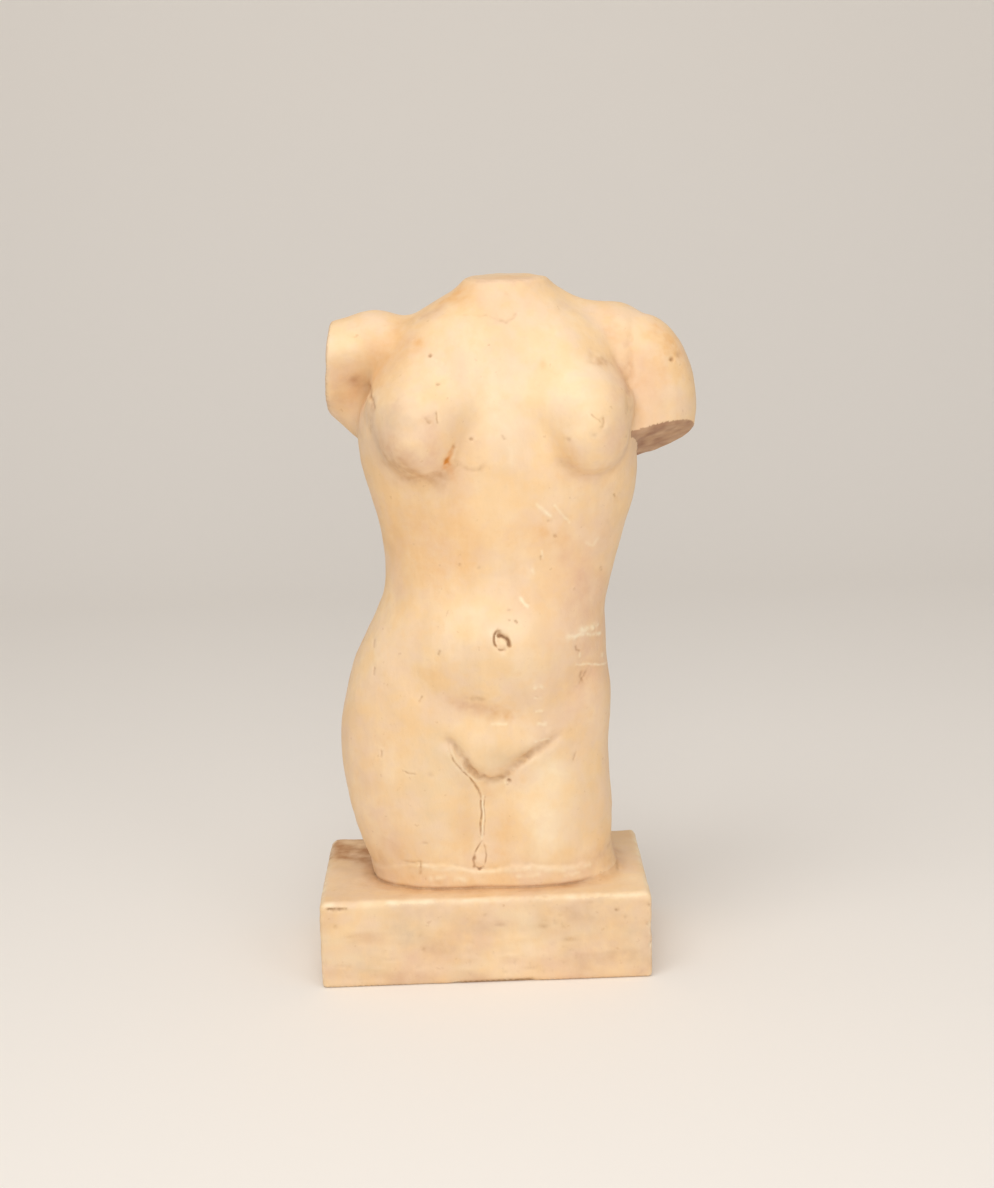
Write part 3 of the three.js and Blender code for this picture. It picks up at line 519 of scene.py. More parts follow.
# raised or scraped pale streaks: points, half width, height
STREAKS = [
    ([(39.6, 305.2), (43.7, 301.0), (47.6, 297.5)], 1.1, 0.3), ([(50.5, 304.0), (54.7, 298.4), (59.2, 292.9)], 0.8, 0.18),
    ([(70.0, 278.6), (73.4, 276.6), (77.0, 280.4)], 1.2, 0.16), ([(36.0, 264.0), (37.0, 262.0)], 1.3, 0.2), ([(28.0, 247.0), (29.8, 245.0), (32.0, 242.6)], 1.1, 0.34),
    ([(41.8, 275.6), (42.0, 272.0)], 0.9, 0.18),
    ([(65.8, 223.8), (69.8, 223.4), (73.9, 223.0)], 2.2, 0.34), ([(73.0, 222.8), (76.7, 223.6)], 0.9, 0.25),
    ([(57.0, 220.9), (59.8, 220.7)], 2.0, 0.45), ([(58.0, 221.1), (64.0, 221.0), (71.0, 219.6), (78.0, 217.3)], 1.2, 0.34),
    ([(62.2, 201.8), (70.8, 199.8), (82.1, 195.5)], 0.6, 0.28), ([(79.2, 203.4), (79.2, 201.6)], 0.9, 0.3), ([(64.2, 208.6), (64.4, 206.4)], 0.8, 0.2),
    ([(35.2, 191.2), (37.7, 192.2), (40.2, 190.8)], 1.4, 0.26), ([(35.1, 184.1), (38.9, 183.7)], 0.9, 0.2), ([(35.6, 175.2), (39.3, 174.8)], 0.9, 0.2),
    ([(37.3, 166.5), (41.0, 166.1)], 1.3, 0.24), ([(35.1, 156.0), (43.4, 155.6)], 0.9, 0.18), ([(8.6, 168.2), (16.9, 168.2)], 0.9, 0.14),
    ([(9.3, 230.0), (9.0, 226.6)], 1.0, 0.14), ([(0.9, 118.6), (0.4, 110.8), (0.8, 104.0), (-0.2, 96.0), (-0.5, 89.6)], 0.7, 0.3),
    ([(-20.6, 395.2), (-18.4, 393.4)], 0.7, 0.12), ([(24.4, 340.0), (25.6, 331.0)], 1.8, 0.1), ([(-8.2, 340.8), (-9.6, 336.0)], 0.8, 0.2),
    ([(-37.6, 73.3), (-30.0, 71.6), (-23.0, 70.9), (-15.3, 71.1), (-6.5, 67.9), (1.8, 67.5), (13.3, 68.9), (29.2, 70.1), (48.4, 67.8), (68.1, 66.6)], 1.6, 0.16),
    ([(-34.0, 64.6), (-26.0, 65.4)], 1.6, 0.2), ([(-18.0, 64.0), (-12.0, 63.6)], 1.8, 0.24), ([(22.0, 65.6), (34.0, 66.0)], 1.8, 0.2), ([(52.0, 64.0), (60.0, 63.6)], 1.5, 0.16),
]
# soft strokes of colour over the coat, front side, painted shade in the folds and creases among them: kind, points,
# half width, amount
SMEARS = [
    ("brown_dirt_and_shade", [(-49.0, 344.0), (-47.3, 335.7), (-42.4, 329.1), (-35.5, 323.8), (-28.4, 320.8), (-20.5, 322.4), (-13.8, 325.9)], 6.0, 0.55),
    ("brown_dirt_and_shade", [(-42.0, 330.6), (-33.5, 325.0), (-26.4, 323.6)], 3.6, 0.5), ("brown_dirt_and_shade", [(-22.5, 323.0), (-13.0, 327.0)], 3.4, 0.45),
    ("brown_dirt_and_shade", [(-12.0, 330.0), (-5.7, 329.4), (-0.4, 327.0), (5.1, 327.6), (10.0, 331.9)], 1.9, 0.26),
    ("brown_dirt_and_shade", [(51.6, 331.6), (57.6, 325.7), (64.2, 321.5), (73.5, 318.9)], 3.4, 0.26), ("brown_dirt_and_shade", [(56.0, 331.0), (60.5, 326.4)], 3.0, 0.3),
    ("brown_dirt_and_shade", [(73.5, 320.4), (83.0, 320.2), (90.7, 325.0), (94.0, 334.0)], 3.6, 0.24),
    ("brown_dirt_and_shade", [(-8.8, 343.0), (-11.4, 338.7)], 1.1, 0.5),
    ("orange", [(-9.4, 341.4), (-11.4, 338.0), (-13.6, 334.6), (-14.6, 330.0)], 1.7, 1.0), ("orange", [(-13.4, 334.6), (-14.0, 331.4)], 2.5, 1.0),
    ("orange", [(-12.9, 329.7), (-11.3, 325.8), (-10.8, 322.0)], 1.9, 0.62), ("orange", [(-8.6, 344.6), (-10.6, 340.6)], 1.0, 0.5),
    ("brown_dirt_and_shade", [(-66.6, 376.8), (-60.8, 375.4), (-58.6, 371.9), (-58.0, 366.5), (-59.0, 360.2)], 2.0, 0.55), ("brown_dirt_and_shade", [(-76.0, 379.6), (-70.0, 377.6), (-64.0, 375.0), (-60.0, 371.0)], 4.4, 0.62),
    ("brown_dirt_and_shade", [(-71.6, 384.0), (-66.0, 379.6)], 2.4, 0.3), ("rose_and_shade", [(-85.0, 383.0), (-77.0, 382.6), (-70.0, 380.0), (-64.0, 374.0)], 5.0, 0.55),
    ("brown_dirt_and_shade", [(-84.0, 374.0), (-80.0, 362.0), (-72.0, 350.0)], 6.0, 0.42), ("rose_and_shade", [(-78.0, 374.0), (-72.0, 358.0)], 8.0, 0.7),
    ("brown_dirt_and_shade", [(98.6, 402.0), (98.0, 388.4), (97.4, 376.5), (97.0, 364.0)], 3.2, 0.42), ("grey_and_shade", [(97.0, 366.0), (96.6, 357.8), (98.8, 346.0), (101.5, 336.0)], 3.2, 0.5),
    ("brown_dirt_and_shade", [(74.6, 396.0), (76.6, 391.6), (83.0, 390.4), (88.0, 391.4)], 3.4, 0.5), ("brown_dirt_and_shade", [(78.0, 388.0), (84.0, 386.0)], 2.6, 0.3),
    ("ochre", [(84.0, 419.0), (88.0, 412.0), (90.0, 404.0), (90.0, 396.0)], 5.5, 0.55), ("ochre", [(112.0, 410.0), (118.0, 403.0), (121.0, 396.0), (118.0, 389.0)], 7.0, 0.85),
    ("ochre", [(125.0, 398.0), (131.0, 388.0), (133.0, 376.0)], 5.0, 0.6), ("pale_and_highlight", [(104.0, 403.0), (107.0, 394.0)], 3.4, 0.4), ("rose_and_shade", [(100.5, 396.0), (104.0, 384.0), (103.0, 374.0)], 4.0, 0.4),
    ("rose_and_shade", [(112.0, 384.0), (116.0, 372.0), (126.0, 366.0)], 7.0, 0.35), ("ochre", [(101.5, 360.0), (104.0, 352.0)], 4.0, 0.5), ("brown_dirt_and_shade", [(127.6, 390.6), (132.0, 389.6)], 2.0, 0.32),
    ("rose_and_shade", [(89.0, 388.0), (92.0, 376.0), (90.0, 364.0), (88.0, 352.0), (90.0, 340.0)], 6.0, 0.5), ("rose_and_shade", [(82.0, 350.0), (80.0, 338.0)], 7.0, 0.4),
    ("ochre", [(54.0, 340.0), (60.0, 334.0), (66.0, 330.0)], 6.0, 0.42), ("brown_dirt_and_shade", [(56.0, 346.6), (60.0, 344.6)], 2.0, 0.24), ("grey_and_shade", [(70.0, 349.6), (76.0, 347.4)], 2.6, 0.45),
    ("grey_and_shade", [(82.0, 352.0), (83.0, 347.0)], 2.4, 0.4), ("brown_dirt_and_shade", [(75.0, 360.0), (79.4, 356.0), (78.6, 351.0)], 1.6, 0.18),
    ("rose_and_shade", [(-24.0, 361.0), (-21.0, 352.0), (-18.0, 344.0)], 4.6, 0.6), ("rose_and_shade", [(-28.0, 350.0), (-24.0, 342.0), (-22.0, 334.0)], 5.6, 0.6), ("rose_and_shade", [(-50.0, 352.0), (-44.0, 342.0), (-36.0, 334.0)], 6.0, 0.5), ("rose_and_shade", [(-46.0, 366.0), (-38.0, 372.0)], 5.0, 0.4),
    ("grey_and_shade", [(-48.0, 368.0), (-40.0, 358.0), (-32.0, 350.0)], 7.0, 0.35), ("grey_and_shade", [(-40.0, 340.0), (-30.0, 334.0)], 6.0, 0.4), ("brown_dirt_and_shade", [(-26.6, 362.6), (-22.0, 358.6)], 1.8, 0.3),
    ("brown_dirt_and_shade", [(-6.4, 184.8), (-1.4, 185.4), (5.3, 183.7)], 1.8, 0.3), ("rose_and_shade", [(-14.0, 184.0), (-4.0, 180.0), (6.0, 178.0)], 6.4, 0.8), ("brown_dirt_and_shade", [(-12.0, 182.6), (-1.0, 177.8), (8.0, 176.0)], 4.6, 0.18),
    ("ochre", [(4.0, 179.0), (13.0, 176.0), (22.0, 173.0)], 6.4, 0.75), ("brown_dirt_and_shade", [(8.0, 174.6), (18.6, 172.0)], 4.4, 0.2), ("pale_and_highlight", [(8.0, 168.6), (18.0, 168.4)], 2.2, 0.45),
    ("brown_dirt_and_shade", [(-32.0, 200.0), (-20.0, 189.0), (-8.0, 182.0), (6.0, 176.0)], 5.4, 0.14), ("brown_dirt_and_shade", [(20.0, 149.0), (24.0, 146.0), (30.0, 147.6)], 3.6, 0.3),
    ("brown_dirt_and_shade", [(-12.0, 148.0), (-6.0, 138.0), (-1.8, 133.6), (5.0, 130.8), (12.5, 131.6), (17.0, 135.6)], 3.0, 0.5), ("brown_dirt_and_shade", [(17.0, 135.6), (24.0, 142.0), (31.0, 147.0), (40.0, 152.0)], 3.2, 0.42),
    ("ochre", [(1.6, 128.0), (4.0, 122.0), (3.0, 116.0)], 3.0, 0.55), ("pale_and_highlight", [(17.4, 126.4), (14.6, 128.4)], 1.4, 0.4), ("pale_and_highlight", [(-16.0, 154.0), (-10.6, 144.0)], 1.3, 0.3),
    ("brown_dirt_and_shade", [(13.6, 229.4), (14.0, 227.4)], 1.7, 0.5), ("grey_and_shade", [(12.4, 227.6), (16.0, 228.6)], 2.2, 0.35), ("pale_and_highlight", [(13.0, 214.4), (19.0, 214.6)], 2.0, 0.3),
    ("brown_dirt_and_shade", [(63.6, 214.0), (64.4, 206.0)], 2.4, 0.22), ("brown_dirt_and_shade", [(65.6, 198.0), (66.6, 187.0)], 3.4, 0.3), ("brown_dirt_and_shade", [(70.0, 203.0), (78.0, 200.0)], 1.4, 0.2),
    ("rose_and_shade", [(70.0, 214.0), (72.0, 206.0)], 5.0, 0.35), ("brown_dirt_and_shade", [(48.6, 286.0), (51.6, 283.0)], 2.4, 0.3), ("ochre", [(38.0, 290.0), (46.0, 288.0), (54.0, 284.0)], 4.0, 0.5),
    ("pale_and_highlight", [(62.0, 288.0), (74.0, 280.0), (80.0, 270.0)], 5.0, 0.25), ("rose_and_shade", [(56.0, 280.0), (62.0, 262.0), (66.0, 246.0)], 9.0, 0.4), ("brown_dirt_and_shade", [(92.0, 322.0), (88.0, 304.0), (84.0, 286.0), (81.0, 268.0)], 4.6, 0.22),
    ("ochre", [(-14.0, 274.0), (-6.0, 268.0), (4.0, 270.0)], 4.0, 0.35), ("ochre", [(-30.0, 256.0), (-20.0, 250.0), (-12.0, 254.0)], 5.0, 0.42), ("brown_dirt_and_shade", [(-6.0, 236.0), (2.0, 238.0)], 1.6, 0.16),
    ("brown_dirt_and_shade", [(14.0, 240.0), (22.0, 241.4)], 1.5, 0.18), ("brown_dirt_and_shade", [(-41.7, 413.8), (-30.4, 416.7), (-14.8, 423.6)], 2.8, 0.18), ("brown_dirt_and_shade", [(18.8, 415.7), (24.0, 414.0), (30.0, 417.6)], 2.0, 0.2),
    ("ochre", [(-20.0, 424.0), (-8.0, 428.0), (2.0, 434.0)], 5.0, 0.6), ("ochre", [(-38.0, 414.0), (-46.0, 410.0)], 4.0, 0.4), ("rose_and_shade", [(2.0, 438.0), (26.0, 438.6), (50.0, 437.0)], 2.6, 0.45),
    ("ochre", [(-46.0, 404.0), (-36.0, 398.0), (-28.0, 404.0)], 5.0, 0.42), ("pale_and_highlight", [(-84.0, 398.0), (-72.0, 402.0), (-66.0, 394.0)], 7.0, 0.55),
    ("ochre", [(12.0, 108.0), (10.0, 96.0), (12.0, 84.0), (10.0, 74.0)], 5.0, 0.42), ("pale_and_highlight", [(26.0, 116.0), (34.0, 108.0), (36.0, 92.0)], 7.0, 0.55), ("pale_and_highlight", [(40.0, 134.0), (48.0, 136.0)], 6.0, 0.45),
    ("ochre", [(-10.0, 104.0), (-9.0, 90.0), (-12.0, 78.0)], 3.6, 0.3), ("brown_dirt_and_shade", [(-56.0, 84.0), (-50.0, 74.0), (-42.0, 68.0)], 4.0, 0.2), ("grey_and_shade", [(-30.0, 118.0), (-34.0, 104.0)], 7.0, 0.35),
    ("brown_dirt_and_shade", [(66.0, 74.0), (76.0, 72.0), (84.0, 76.0)], 3.4, 0.3), ("brown_dirt_and_shade", [(60.0, 66.0), (72.0, 66.0), (82.0, 70.0)], 4.0, 0.26), ("brown_dirt_and_shade", [(-62.0, 70.0), (-66.0, 80.0)], 3.0, 0.3),
    ("brown_dirt_and_shade", [(-40.4, 76.4), (-41.2, 66.0)], 1.3, 0.22),
]
# broad tints of the coat, with painted shade on the turned-away sides and painted highlights where the light falls: x,
# z, reach x, reach z, amount (front side)
OCHRE = [(-52, 300, 22, 40, .45), (-26, 284, 26, 26, .7), (-6, 310, 10, 24, .5), (-45, 250, 14, 22, .3), (30, 290, 26, 16, .5),
         (-20, 262, 18, 10, .5), (-14, 100, 12, 24, .25), (14, 96, 12, 30, .35), (-4, 66, 22, 9, .4), (-40, 402, 26, 16, .65), (-52, 388, 10, 12, .8),
         (0, 428, 14, 10, .7), (-25, 420, 14, 6, .5), (30, 424, 22, 10, .3), (118, 392, 14, 16, .5), (112, 376, 16, 20, .3),
         (-32, 196, 12, 14, .4), (-52, 166, 12, 26, .35), (45.4, 389, 1.8, 2.8, .9),
         (-29.1, 404.7, 2.8, 2.4, .9), (58, 322, 16, 8, .4), (76, 70, 12, 14, .5), (36, 250, 20, 14, .25), (-60, 80, 16, 16, .3),
         (20, 320, 12, 12, .25), (102, 344, 6, 8, .4)]
ROSE_AND_SHADE = [(60, 262, 26, 34, .5), (72, 222, 14, 50, .6), (66, 186, 18, 26, .45), (44, 226, 16, 16, .2), (96, 392, 9, 22, .4), (44, 176, 18, 26, .35),
        (104, 378, 10, 22, .3), (124, 356, 14, 14, .35), (-40, 330, 22, 14, .3), (-28, 345, 18, 14, .3), (28, 392, 14, 14, .2), (-60, 100, 20, 22, .45), (-72, 150, 12, 40, .3),
        (86, 330, 12, 22, .3), (-10, 345, 8, 10, .25), (5, 346, 10, 10, .3), (24, 405, 12, 10, .25), (-38, 64, 26, 6, .45), (40, 64, 30, 6, .3), (-50, 355, 16, 22, .3)]
GREY_AND_SHADE = [(-42, 368, 18, 26, .35), (-52, 345, 12, 22, .4), (-30, 130, 22, 34, .35), (-20, 150, 14, 14, .35), (10, 146, 18, 10, .5), (26, 150, 14, 8, .3), (34, 180, 14, 24, .25),
        (22, 342, 10, 14, .25), (66, 376, 14, 10, .1), (90, 375, 8, 20, .3), (82, 352, 10, 12, .3), (-50, 192, 14, 24, .2), (14, 210, 24, 16, .2), (22, 262, 20, 22, .25), (58, 120, 26, 30, .1),
        (-8, 222, 12, 12, .15)]
PALE_AND_HIGHLIGHT = [(31, 392, 24, 22, .55), (66, 366, 16, 14, .6), (3, 234, 18, 12, .6), (24, 230, 14, 10, .45), (42, 100, 14, 36, .75), (46, 134, 12, 8, .5), (-27, 140, 16, 16, .35),
        (20, 348, 12, 24, .4), (6, 309, 14, 14, .35), (14, 366, 18, 20, .35), (-30, 110, 14, 24, .3), (8, 100, 10, 24, .3)]


def patch(table, x, z, w, seed):
    q = x + 5.0 * noise(x, z, 0 * x, 16.0, seed)
    e = z + 5.0 * noise(x, z, 0 * x, 16.0, seed + 1)
    out = np.zeros_like(x)
    for cx, cz, rx, rz, k in table:
        d = ((q - cx) / rx) ** 2 + ((e - cz) / rz) ** 2 if min(rx, rz) > 5 else ((x - cx) / rx) ** 2 + ((z - cz) / rz) ** 2
        out += k * np.exp(-d)
    return out * w


def dressed(P, N):
    """Height of the fine relief over the plain form (mm), and the masks for the finish."""
    x, y, z = P.T
    f = step(4.0, -8.0, y) * step(0.15, -0.25, N[:, 1])
    on_body = step(PLINTH_H + 1.0, PLINTH_H + 4.0, z)
    side = 1 - f
    # hand-worked unevenness
    h = (0.42 * noise(x, y, z, 25.0, 21) + 0.26 * noise(x, y, z, 12.0, 22) + 0.13 * noise(x, y, z, 5.6, 23)
         + 0.06 * noise(x, y, z, 2.7, 24)) * (0.55 + 0.45 * on_body)
    h += 0.10 * noise(x, y, z, 6.5, 25, (1, 1, 3.5)) * on_body                      # long strokes of the brush
    dirt_and_crease_shade, chalk_and_highlight = np.zeros_like(x), np.zeros_like(x)
    ragged = 0.72 + 0.42 * noise(x, y, z, 2.1, 35) + 0.25 * noise(x, y, z, 5.0, 36)
    for pts, w, deep, darkening in LINES:
        p = np.asarray(pts)
        r = 3.2 * w
        m = (x > p[:, 0].min() - r) & (x < p[:, 0].max() + r) & (z > p[:, 1].min() - r) & (z < p[:, 1].max() + r) & (f > 0)
        if not m.any():
            continue
        wob = 0.45 * w * noise(x[m], z[m], 0 * x[m], 3.4, 31)
        d, t = near_line(x[m] + wob, z[m] + wob, pts)
        end = np.clip(t / 0.25, 0, 1) * np.clip((1 - t) / 0.25, 0, 1)
        end = end * end * (3 - 2 * end)
        g = np.exp(-np.abs(d / w) ** 2.2) * (0.15 + 0.85 * end) * f[m]
        h[m] -= deep * g * np.clip(ragged[m] + 0.25, 0.5, 1.2)
        if darkening:
            dirt_and_crease_shade[m] = np.maximum(dirt_and_crease_shade[m], darkening * np.exp(-((d / (0.95 * w + 0.2)) ** 2)) * (0.25 + 0.75 * end) * f[m] * np.clip(ragged[m] + 0.2, 0.2, 1.15))
    for cx, cz, rx, rz, hi, darkening in DOTS:
        m = (np.abs(x - cx) < 3 * rx) & (np.abs(z - cz) < 3 * rz) & (f > 0)
        if not m.any():
            continue
        wob = 1 + 0.35 * noise(x[m], z[m], 0 * x[m], 1.6 + 0.5 * rx, 32)
        d = np.sqrt(((x[m] - cx) / rx) ** 2 + ((z[m] - cz) / rz) ** 2) * wob
        h[m] += hi * np.exp(-d**2.2) * f[m]
        dirt_and_crease_shade[m] = np.maximum(dirt_and_crease_shade[m], darkening * np.exp(-((d / 0.95) ** 2.4)) * f[m])
    for pts, w, hi in STREAKS:
        p = np.asarray(pts)
        r = 3.0 * w
        m = (x > p[:, 0].min() - r) & (x < p[:, 0].max() + r) & (z > p[:, 1].min() - r) & (z < p[:, 1].max() + r) & (f > 0)
        if not m.any():
            continue
        d, t = near_line(x[m] + 0.5 * noise(x[m], z[m], 0 * x[m], 2.6, 33), z[m] + 0.5 * noise(x[m], z[m], 0 * x[m], 2.6, 34), pts)
        g = np.exp(-((d / w) ** 2)) * f[m] * np.clip(ragged[m], 0.1, 1.1)
        h[m] += hi * g
        chalk_and_highlight[m] = np.maximum(chalk_and_highlight[m], np.clip(1.1 * g, 0, 1) * np.clip(hi * 2.4, 0, 0.75))
    # bowl of the navel, under the lines above
    d = np.sqrt(((x - 15.7) / 5.0) ** 2 + ((z - 222.6) / 5.8) ** 2)
    h -= 1.5 * np.exp(-d**4) * f
    # cut faces: broken plaster
    arm = (np.abs(plane(x, y, z, ARM_AT, ARM_N)) < 1.6) & (x > 96) & (N @ (np.asarray(ARM_N) / np.linalg.norm(ARM_N)) > 0.55)
    stub = (np.abs(plane(x, y, z, (STUB_X, 0, 388), (-1, 0, STUB_LEAN))) < 1.6) & (N[:, 0] < -0.6) & (z > 340)
    neck = (np.abs(plane(x, y, z, (28, 0, NECK_Z), (0, -NECK_TILT, 1))) < 1.3) & (N[:, 2] > 0.6)
    faces = (arm | stub | neck).astype(float)
    h += faces * (0.30 * noise(x, y, z, 8.0, 41) + 0.12 * noise(x, y, z, 3.2, 42) - 0.3)
    # plinth: trowelled faces with small lumps, drags and pits
    low = 1 - on_body
    h += low * (0.34 * noise(x, y, z, 9.0, 51, (2.6, 2.6, 1)) + 0.14 * noise(x, y, z, 3.6, 52, (2.6, 2.6, 1)) + 0.04 * noise(x, y, z, 1.8, 53))
    pit = noise(x, y, z, 2.6, 54)
    deep = step(0.62, 0.80, pit) * step(0.1, 0.5, noise(x, y, z, 18.0, 55) + 0.25)
    h -= 0.22 * deep * low
    dirt_and_crease_shade = np.maximum(dirt_and_crease_shade, 0.22 * deep * low)
    front = (y < -56) & (z < PLINTH_H + 1)
    for cx, cz, rx, rz, hi, darkening in [(83.1, 46.4, 1.0, 1.0, -1.5, 1.0), (8.9, 38.9, 3.0, 1.6, -0.5, .35), (36.1, 36.6, 3.2, 1.8, -0.6, .4), (52.9, 27.2, 5.0, 1.6, -0.6, .4), (-0.3, 46.0, 1.6, 1.0, -0.5, .4),
                                     (-95.0, 41.4, 1.2, 1.4, -0.7, .6), (88.0, 40.8, 1.0, 1.0, -0.6, .5), (27.1, 9.0, 6.0, 1.2, -0.4, .3), (-40.0, 24.0, 1.0, 1.4, -0.5, .5), (-86.0, 34.0, 4.0, 1.0, -.4, .25),
                                     (66.0, 52.0, 3.0, .8, -.4, .3), (-60.0, 18.0, 6.0, 1.2, -.4, .25), (14.0, 18.0, 5.0, 1.0, .5, 0), (20.0, 29.0, 8.0, 1.4, .4, 0), (-70.0, 12.0, 5.0, 1.0, .4, 0)]:
        m = front & (np.abs(x - cx) < 3 * rx) & (np.abs(z - cz) < 3 * rz)
        d = np.sqrt(((x[m] - cx) / rx) ** 2 + ((z[m] - cz) / rz) ** 2)
        h[m] += hi * np.exp(-d**2.4)
        dirt_and_crease_shade[m] = np.maximum(dirt_and_crease_shade[m], darkening * np.exp(-(d**2)))
    # open crack under the front edge, near the corner; a groove along the bottom of the front, painted dark as the
    # shadow of the gap under it
    m = front & (x < -84) & (x > -104)
    d, t = near_line(x[m], z[m] + 0.3 * noise(x[m], z[m], 0 * x[m], 3.0, 57), [(-99.5, 53.6), (-92.6, 53.2), (-87.6, 52.6)])
    h[m] -= 1.8 * np.exp(-((d / 0.7) ** 2))
    dirt_and_crease_shade[m] = np.maximum(dirt_and_crease_shade[m], 1.0 * np.exp(-((d / 0.75) ** 2)))
    m = front & (z < 5) & (x > -30) & (x < 36)
    h[m] -= 1.2 * np.exp(-(((z[m] - 0.8) / 1.1) ** 2)) * step(-26, -14, x[m]) * step(34, 26, x[m])
    dirt_and_crease_shade[m] = np.maximum(dirt_and_crease_shade[m], 0.9 * np.exp(-(((z[m] - 0.6) / 1.2) ** 2)) * step(-26, -14, x[m]) * step(34, 26, x[m]))
    # darker, warmer plinth top near the legs and at its back-left corner, dirt in the cracks, and a painted shadow line
    # where the band meets the plinth top
    # foot: where the band meets the plinth top; it carries the painted shadow line under the band
    foot = np.exp(-(((z - PLINTH_H - 0.6) / 1.7) ** 2)) * (y < 45)
    inset = np.maximum(np.abs(x) - PLINTH_W / 2, np.abs(y) - PLINTH_D / 2)
    on_top = (N[:, 2] > 0.5) * (np.abs(z - PLINTH_H) < 3.2)
    near_leg = np.clip(1 - (figure(x, y, np.maximum(z, 58.0)) - 2.0) / 9.0, 0, 1) * on_top
    dirt_and_crease_shade = np.maximum(dirt_and_crease_shade, 0.3 * foot * step(10, 3, figure(x, y, np.maximum(z, 58.0)) - 2) * (0.55 + 0.45 * noise(x, y, z, 7.0, 61)) * step(90, 60, x))
    back_left = on_top * step(-66, -80, x) * step(6, 20, y + 0.6 * (x + 90)) * np.clip(0.75 + 0.6 * noise(x, y, z, 9.0, 62) + 0.3 * noise(x, y, z, 3.0, 62), 0, 1)
    crack = on_top * np.exp(-((np.hypot(x + 71.0, (y + 12.0) * 0.8) / 3.0) ** 2)) + np.exp(-(((x + 104.5) / 1.3) ** 2)) * (y > 4) * (y < 34) * (np.abs(z - PLINTH_H) < 5) * np.clip(0.5 + noise(x, y, z, 4.0, 58), 0, 1)
    dirt_and_crease_shade = np.maximum(dirt_and_crease_shade, np.clip(crack, 0, 1) * 0.9)
    masks = {
        "ochre": patch(OCHRE, x, z, f, 71) + 0.45 * near_leg + 0.30 * on_top * (0.6 + 0.6 * noise(x, y, z, 14.0, 63))
                 + side * on_body * 0.45 * np.clip(0.35 + noise(x, y, z, 38.0, 64) + 0.5 * noise(x, y, z, 17.0, 65), 0, 1),
        "rose_and_shade": patch(ROSE_AND_SHADE, x, z, f, 73) + 0.35 * near_leg + 0.5 * back_left + low * (1 - on_top) * np.clip(0.40 + 0.5 * noise(x, y, z, 20.0, 59, (1.6, 1.6, 1)) + 0.3 * noise(x, y, z, 7.0, 60, (2.4, 2.4, 1)), 0, 1)
                + side * on_body * 0.45 * np.clip(0.2 + noise(x, y, z, 34.0, 66) + 0.4 * noise(x, y, z, 14.0, 67), 0, 1),
        "grey_and_shade": patch(GREY_AND_SHADE, x, z, f, 75) + low * (1 - on_top) * np.clip(0.34 + 0.45 * noise(x, y, z, 24.0, 68, (1.6, 1.6, 1)) + 0.4 * noise(x, y, z, 8.0, 69, (2.6, 2.6, 1)), 0, 1)
                + side * on_body * 0.5 * np.clip(0.1 + noise(x, y, z, 30.0, 70) + 0.4 * noise(x, y, z, 12.0, 71), 0, 1),
        "pale_and_highlight": patch(PALE_AND_HIGHLIGHT, x, z, f, 77) + low * np.clip(0.15 + 0.5 * noise(x, y, z, 12.0, 79, (2.4, 2.4, 1)) + 0.3 * on_top, 0, 0.6),
        "brown_dirt_and_shade": 1.35 * back_left + 0.30 * near_leg + 0.4 * foot * step(90, 60, x) + low * (1 - on_top) * 0.5 * np.clip(noise(x, y, z, 9.0, 80, (2.6, 2.6, 1)) - 0.15, 0, 1),
        "orange": 0 * x,
    }
    torn = np.clip(0.8 + 0.4 * noise(x, y, z, 5.0, 37) + 0.4 * noise(x, y, z, 2.2, 38), 0, 1.3)
    for kind, pts, w, amount in SMEARS:
        p = np.asarray(pts)
        r = 2.6 * w + 2
        m = (x > p[:, 0].min() - r) & (x < p[:, 0].max() + r) & (z > p[:, 1].min() - r) & (z < p[:, 1].max() + r) & (f > 0)
        if not m.any():
            continue
        n1, n2 = noise(x[m], z[m], 0 * x[m], 3.0 + 0.8 * w, 39), noise(x[m], z[m], 0 * x[m], 3.0 + 0.8 * w, 40)
        d, t = near_line(x[m] + 0.55 * w * n1, z[m] + 0.55 * w * n2, pts)
        end = 0.45 + 0.55 * np.clip(t / 0.2, 0, 1) * np.clip((1 - t) / 0.2, 0, 1)
        masks[kind][m] += amount * np.exp(-np.abs(d / w) ** 2.6) * end * f[m] * torn[m]
    # pale wear and painted highlight along the plinth's top rim
    rim_wear_and_highlight = np.exp(-((np.maximum(np.abs(inset), np.abs(z - PLINTH_H)) / 2.6) ** 2))
    masks["chalk_and_highlight"] = np.clip(chalk_and_highlight + rim_wear_and_highlight * np.clip(0.42 + 0.6 * noise(x, y, z, 8.0, 72) + 0.3 * noise(x, y, z, 3.0, 76), 0, 1), 0, 1)
    for c, r in CHIPS:
        d = np.sqrt((x - c[0]) ** 2 + (y - c[1]) ** 2 + (z - c[2]) ** 2)
        masks["chalk_and_highlight"] = np.maximum(masks["chalk_and_highlight"], step(r + 1.0, r - 0.2, d) * (1.0 if c[0] < -100 and c[1] < -60 else 0.75))
    # cut faces: broken plaster, darkened most on the arm's downward cut as painted shade
    masks["cut"] = arm * np.clip(0.85 + 0.2 * noise(x, y, z, 6.0, 78), 0, 1) + stub * 0.3 + neck * 0.08
    masks["dirt_and_crease_shade"] = np.clip(dirt_and_crease_shade, 0, 1)
    return h, masks


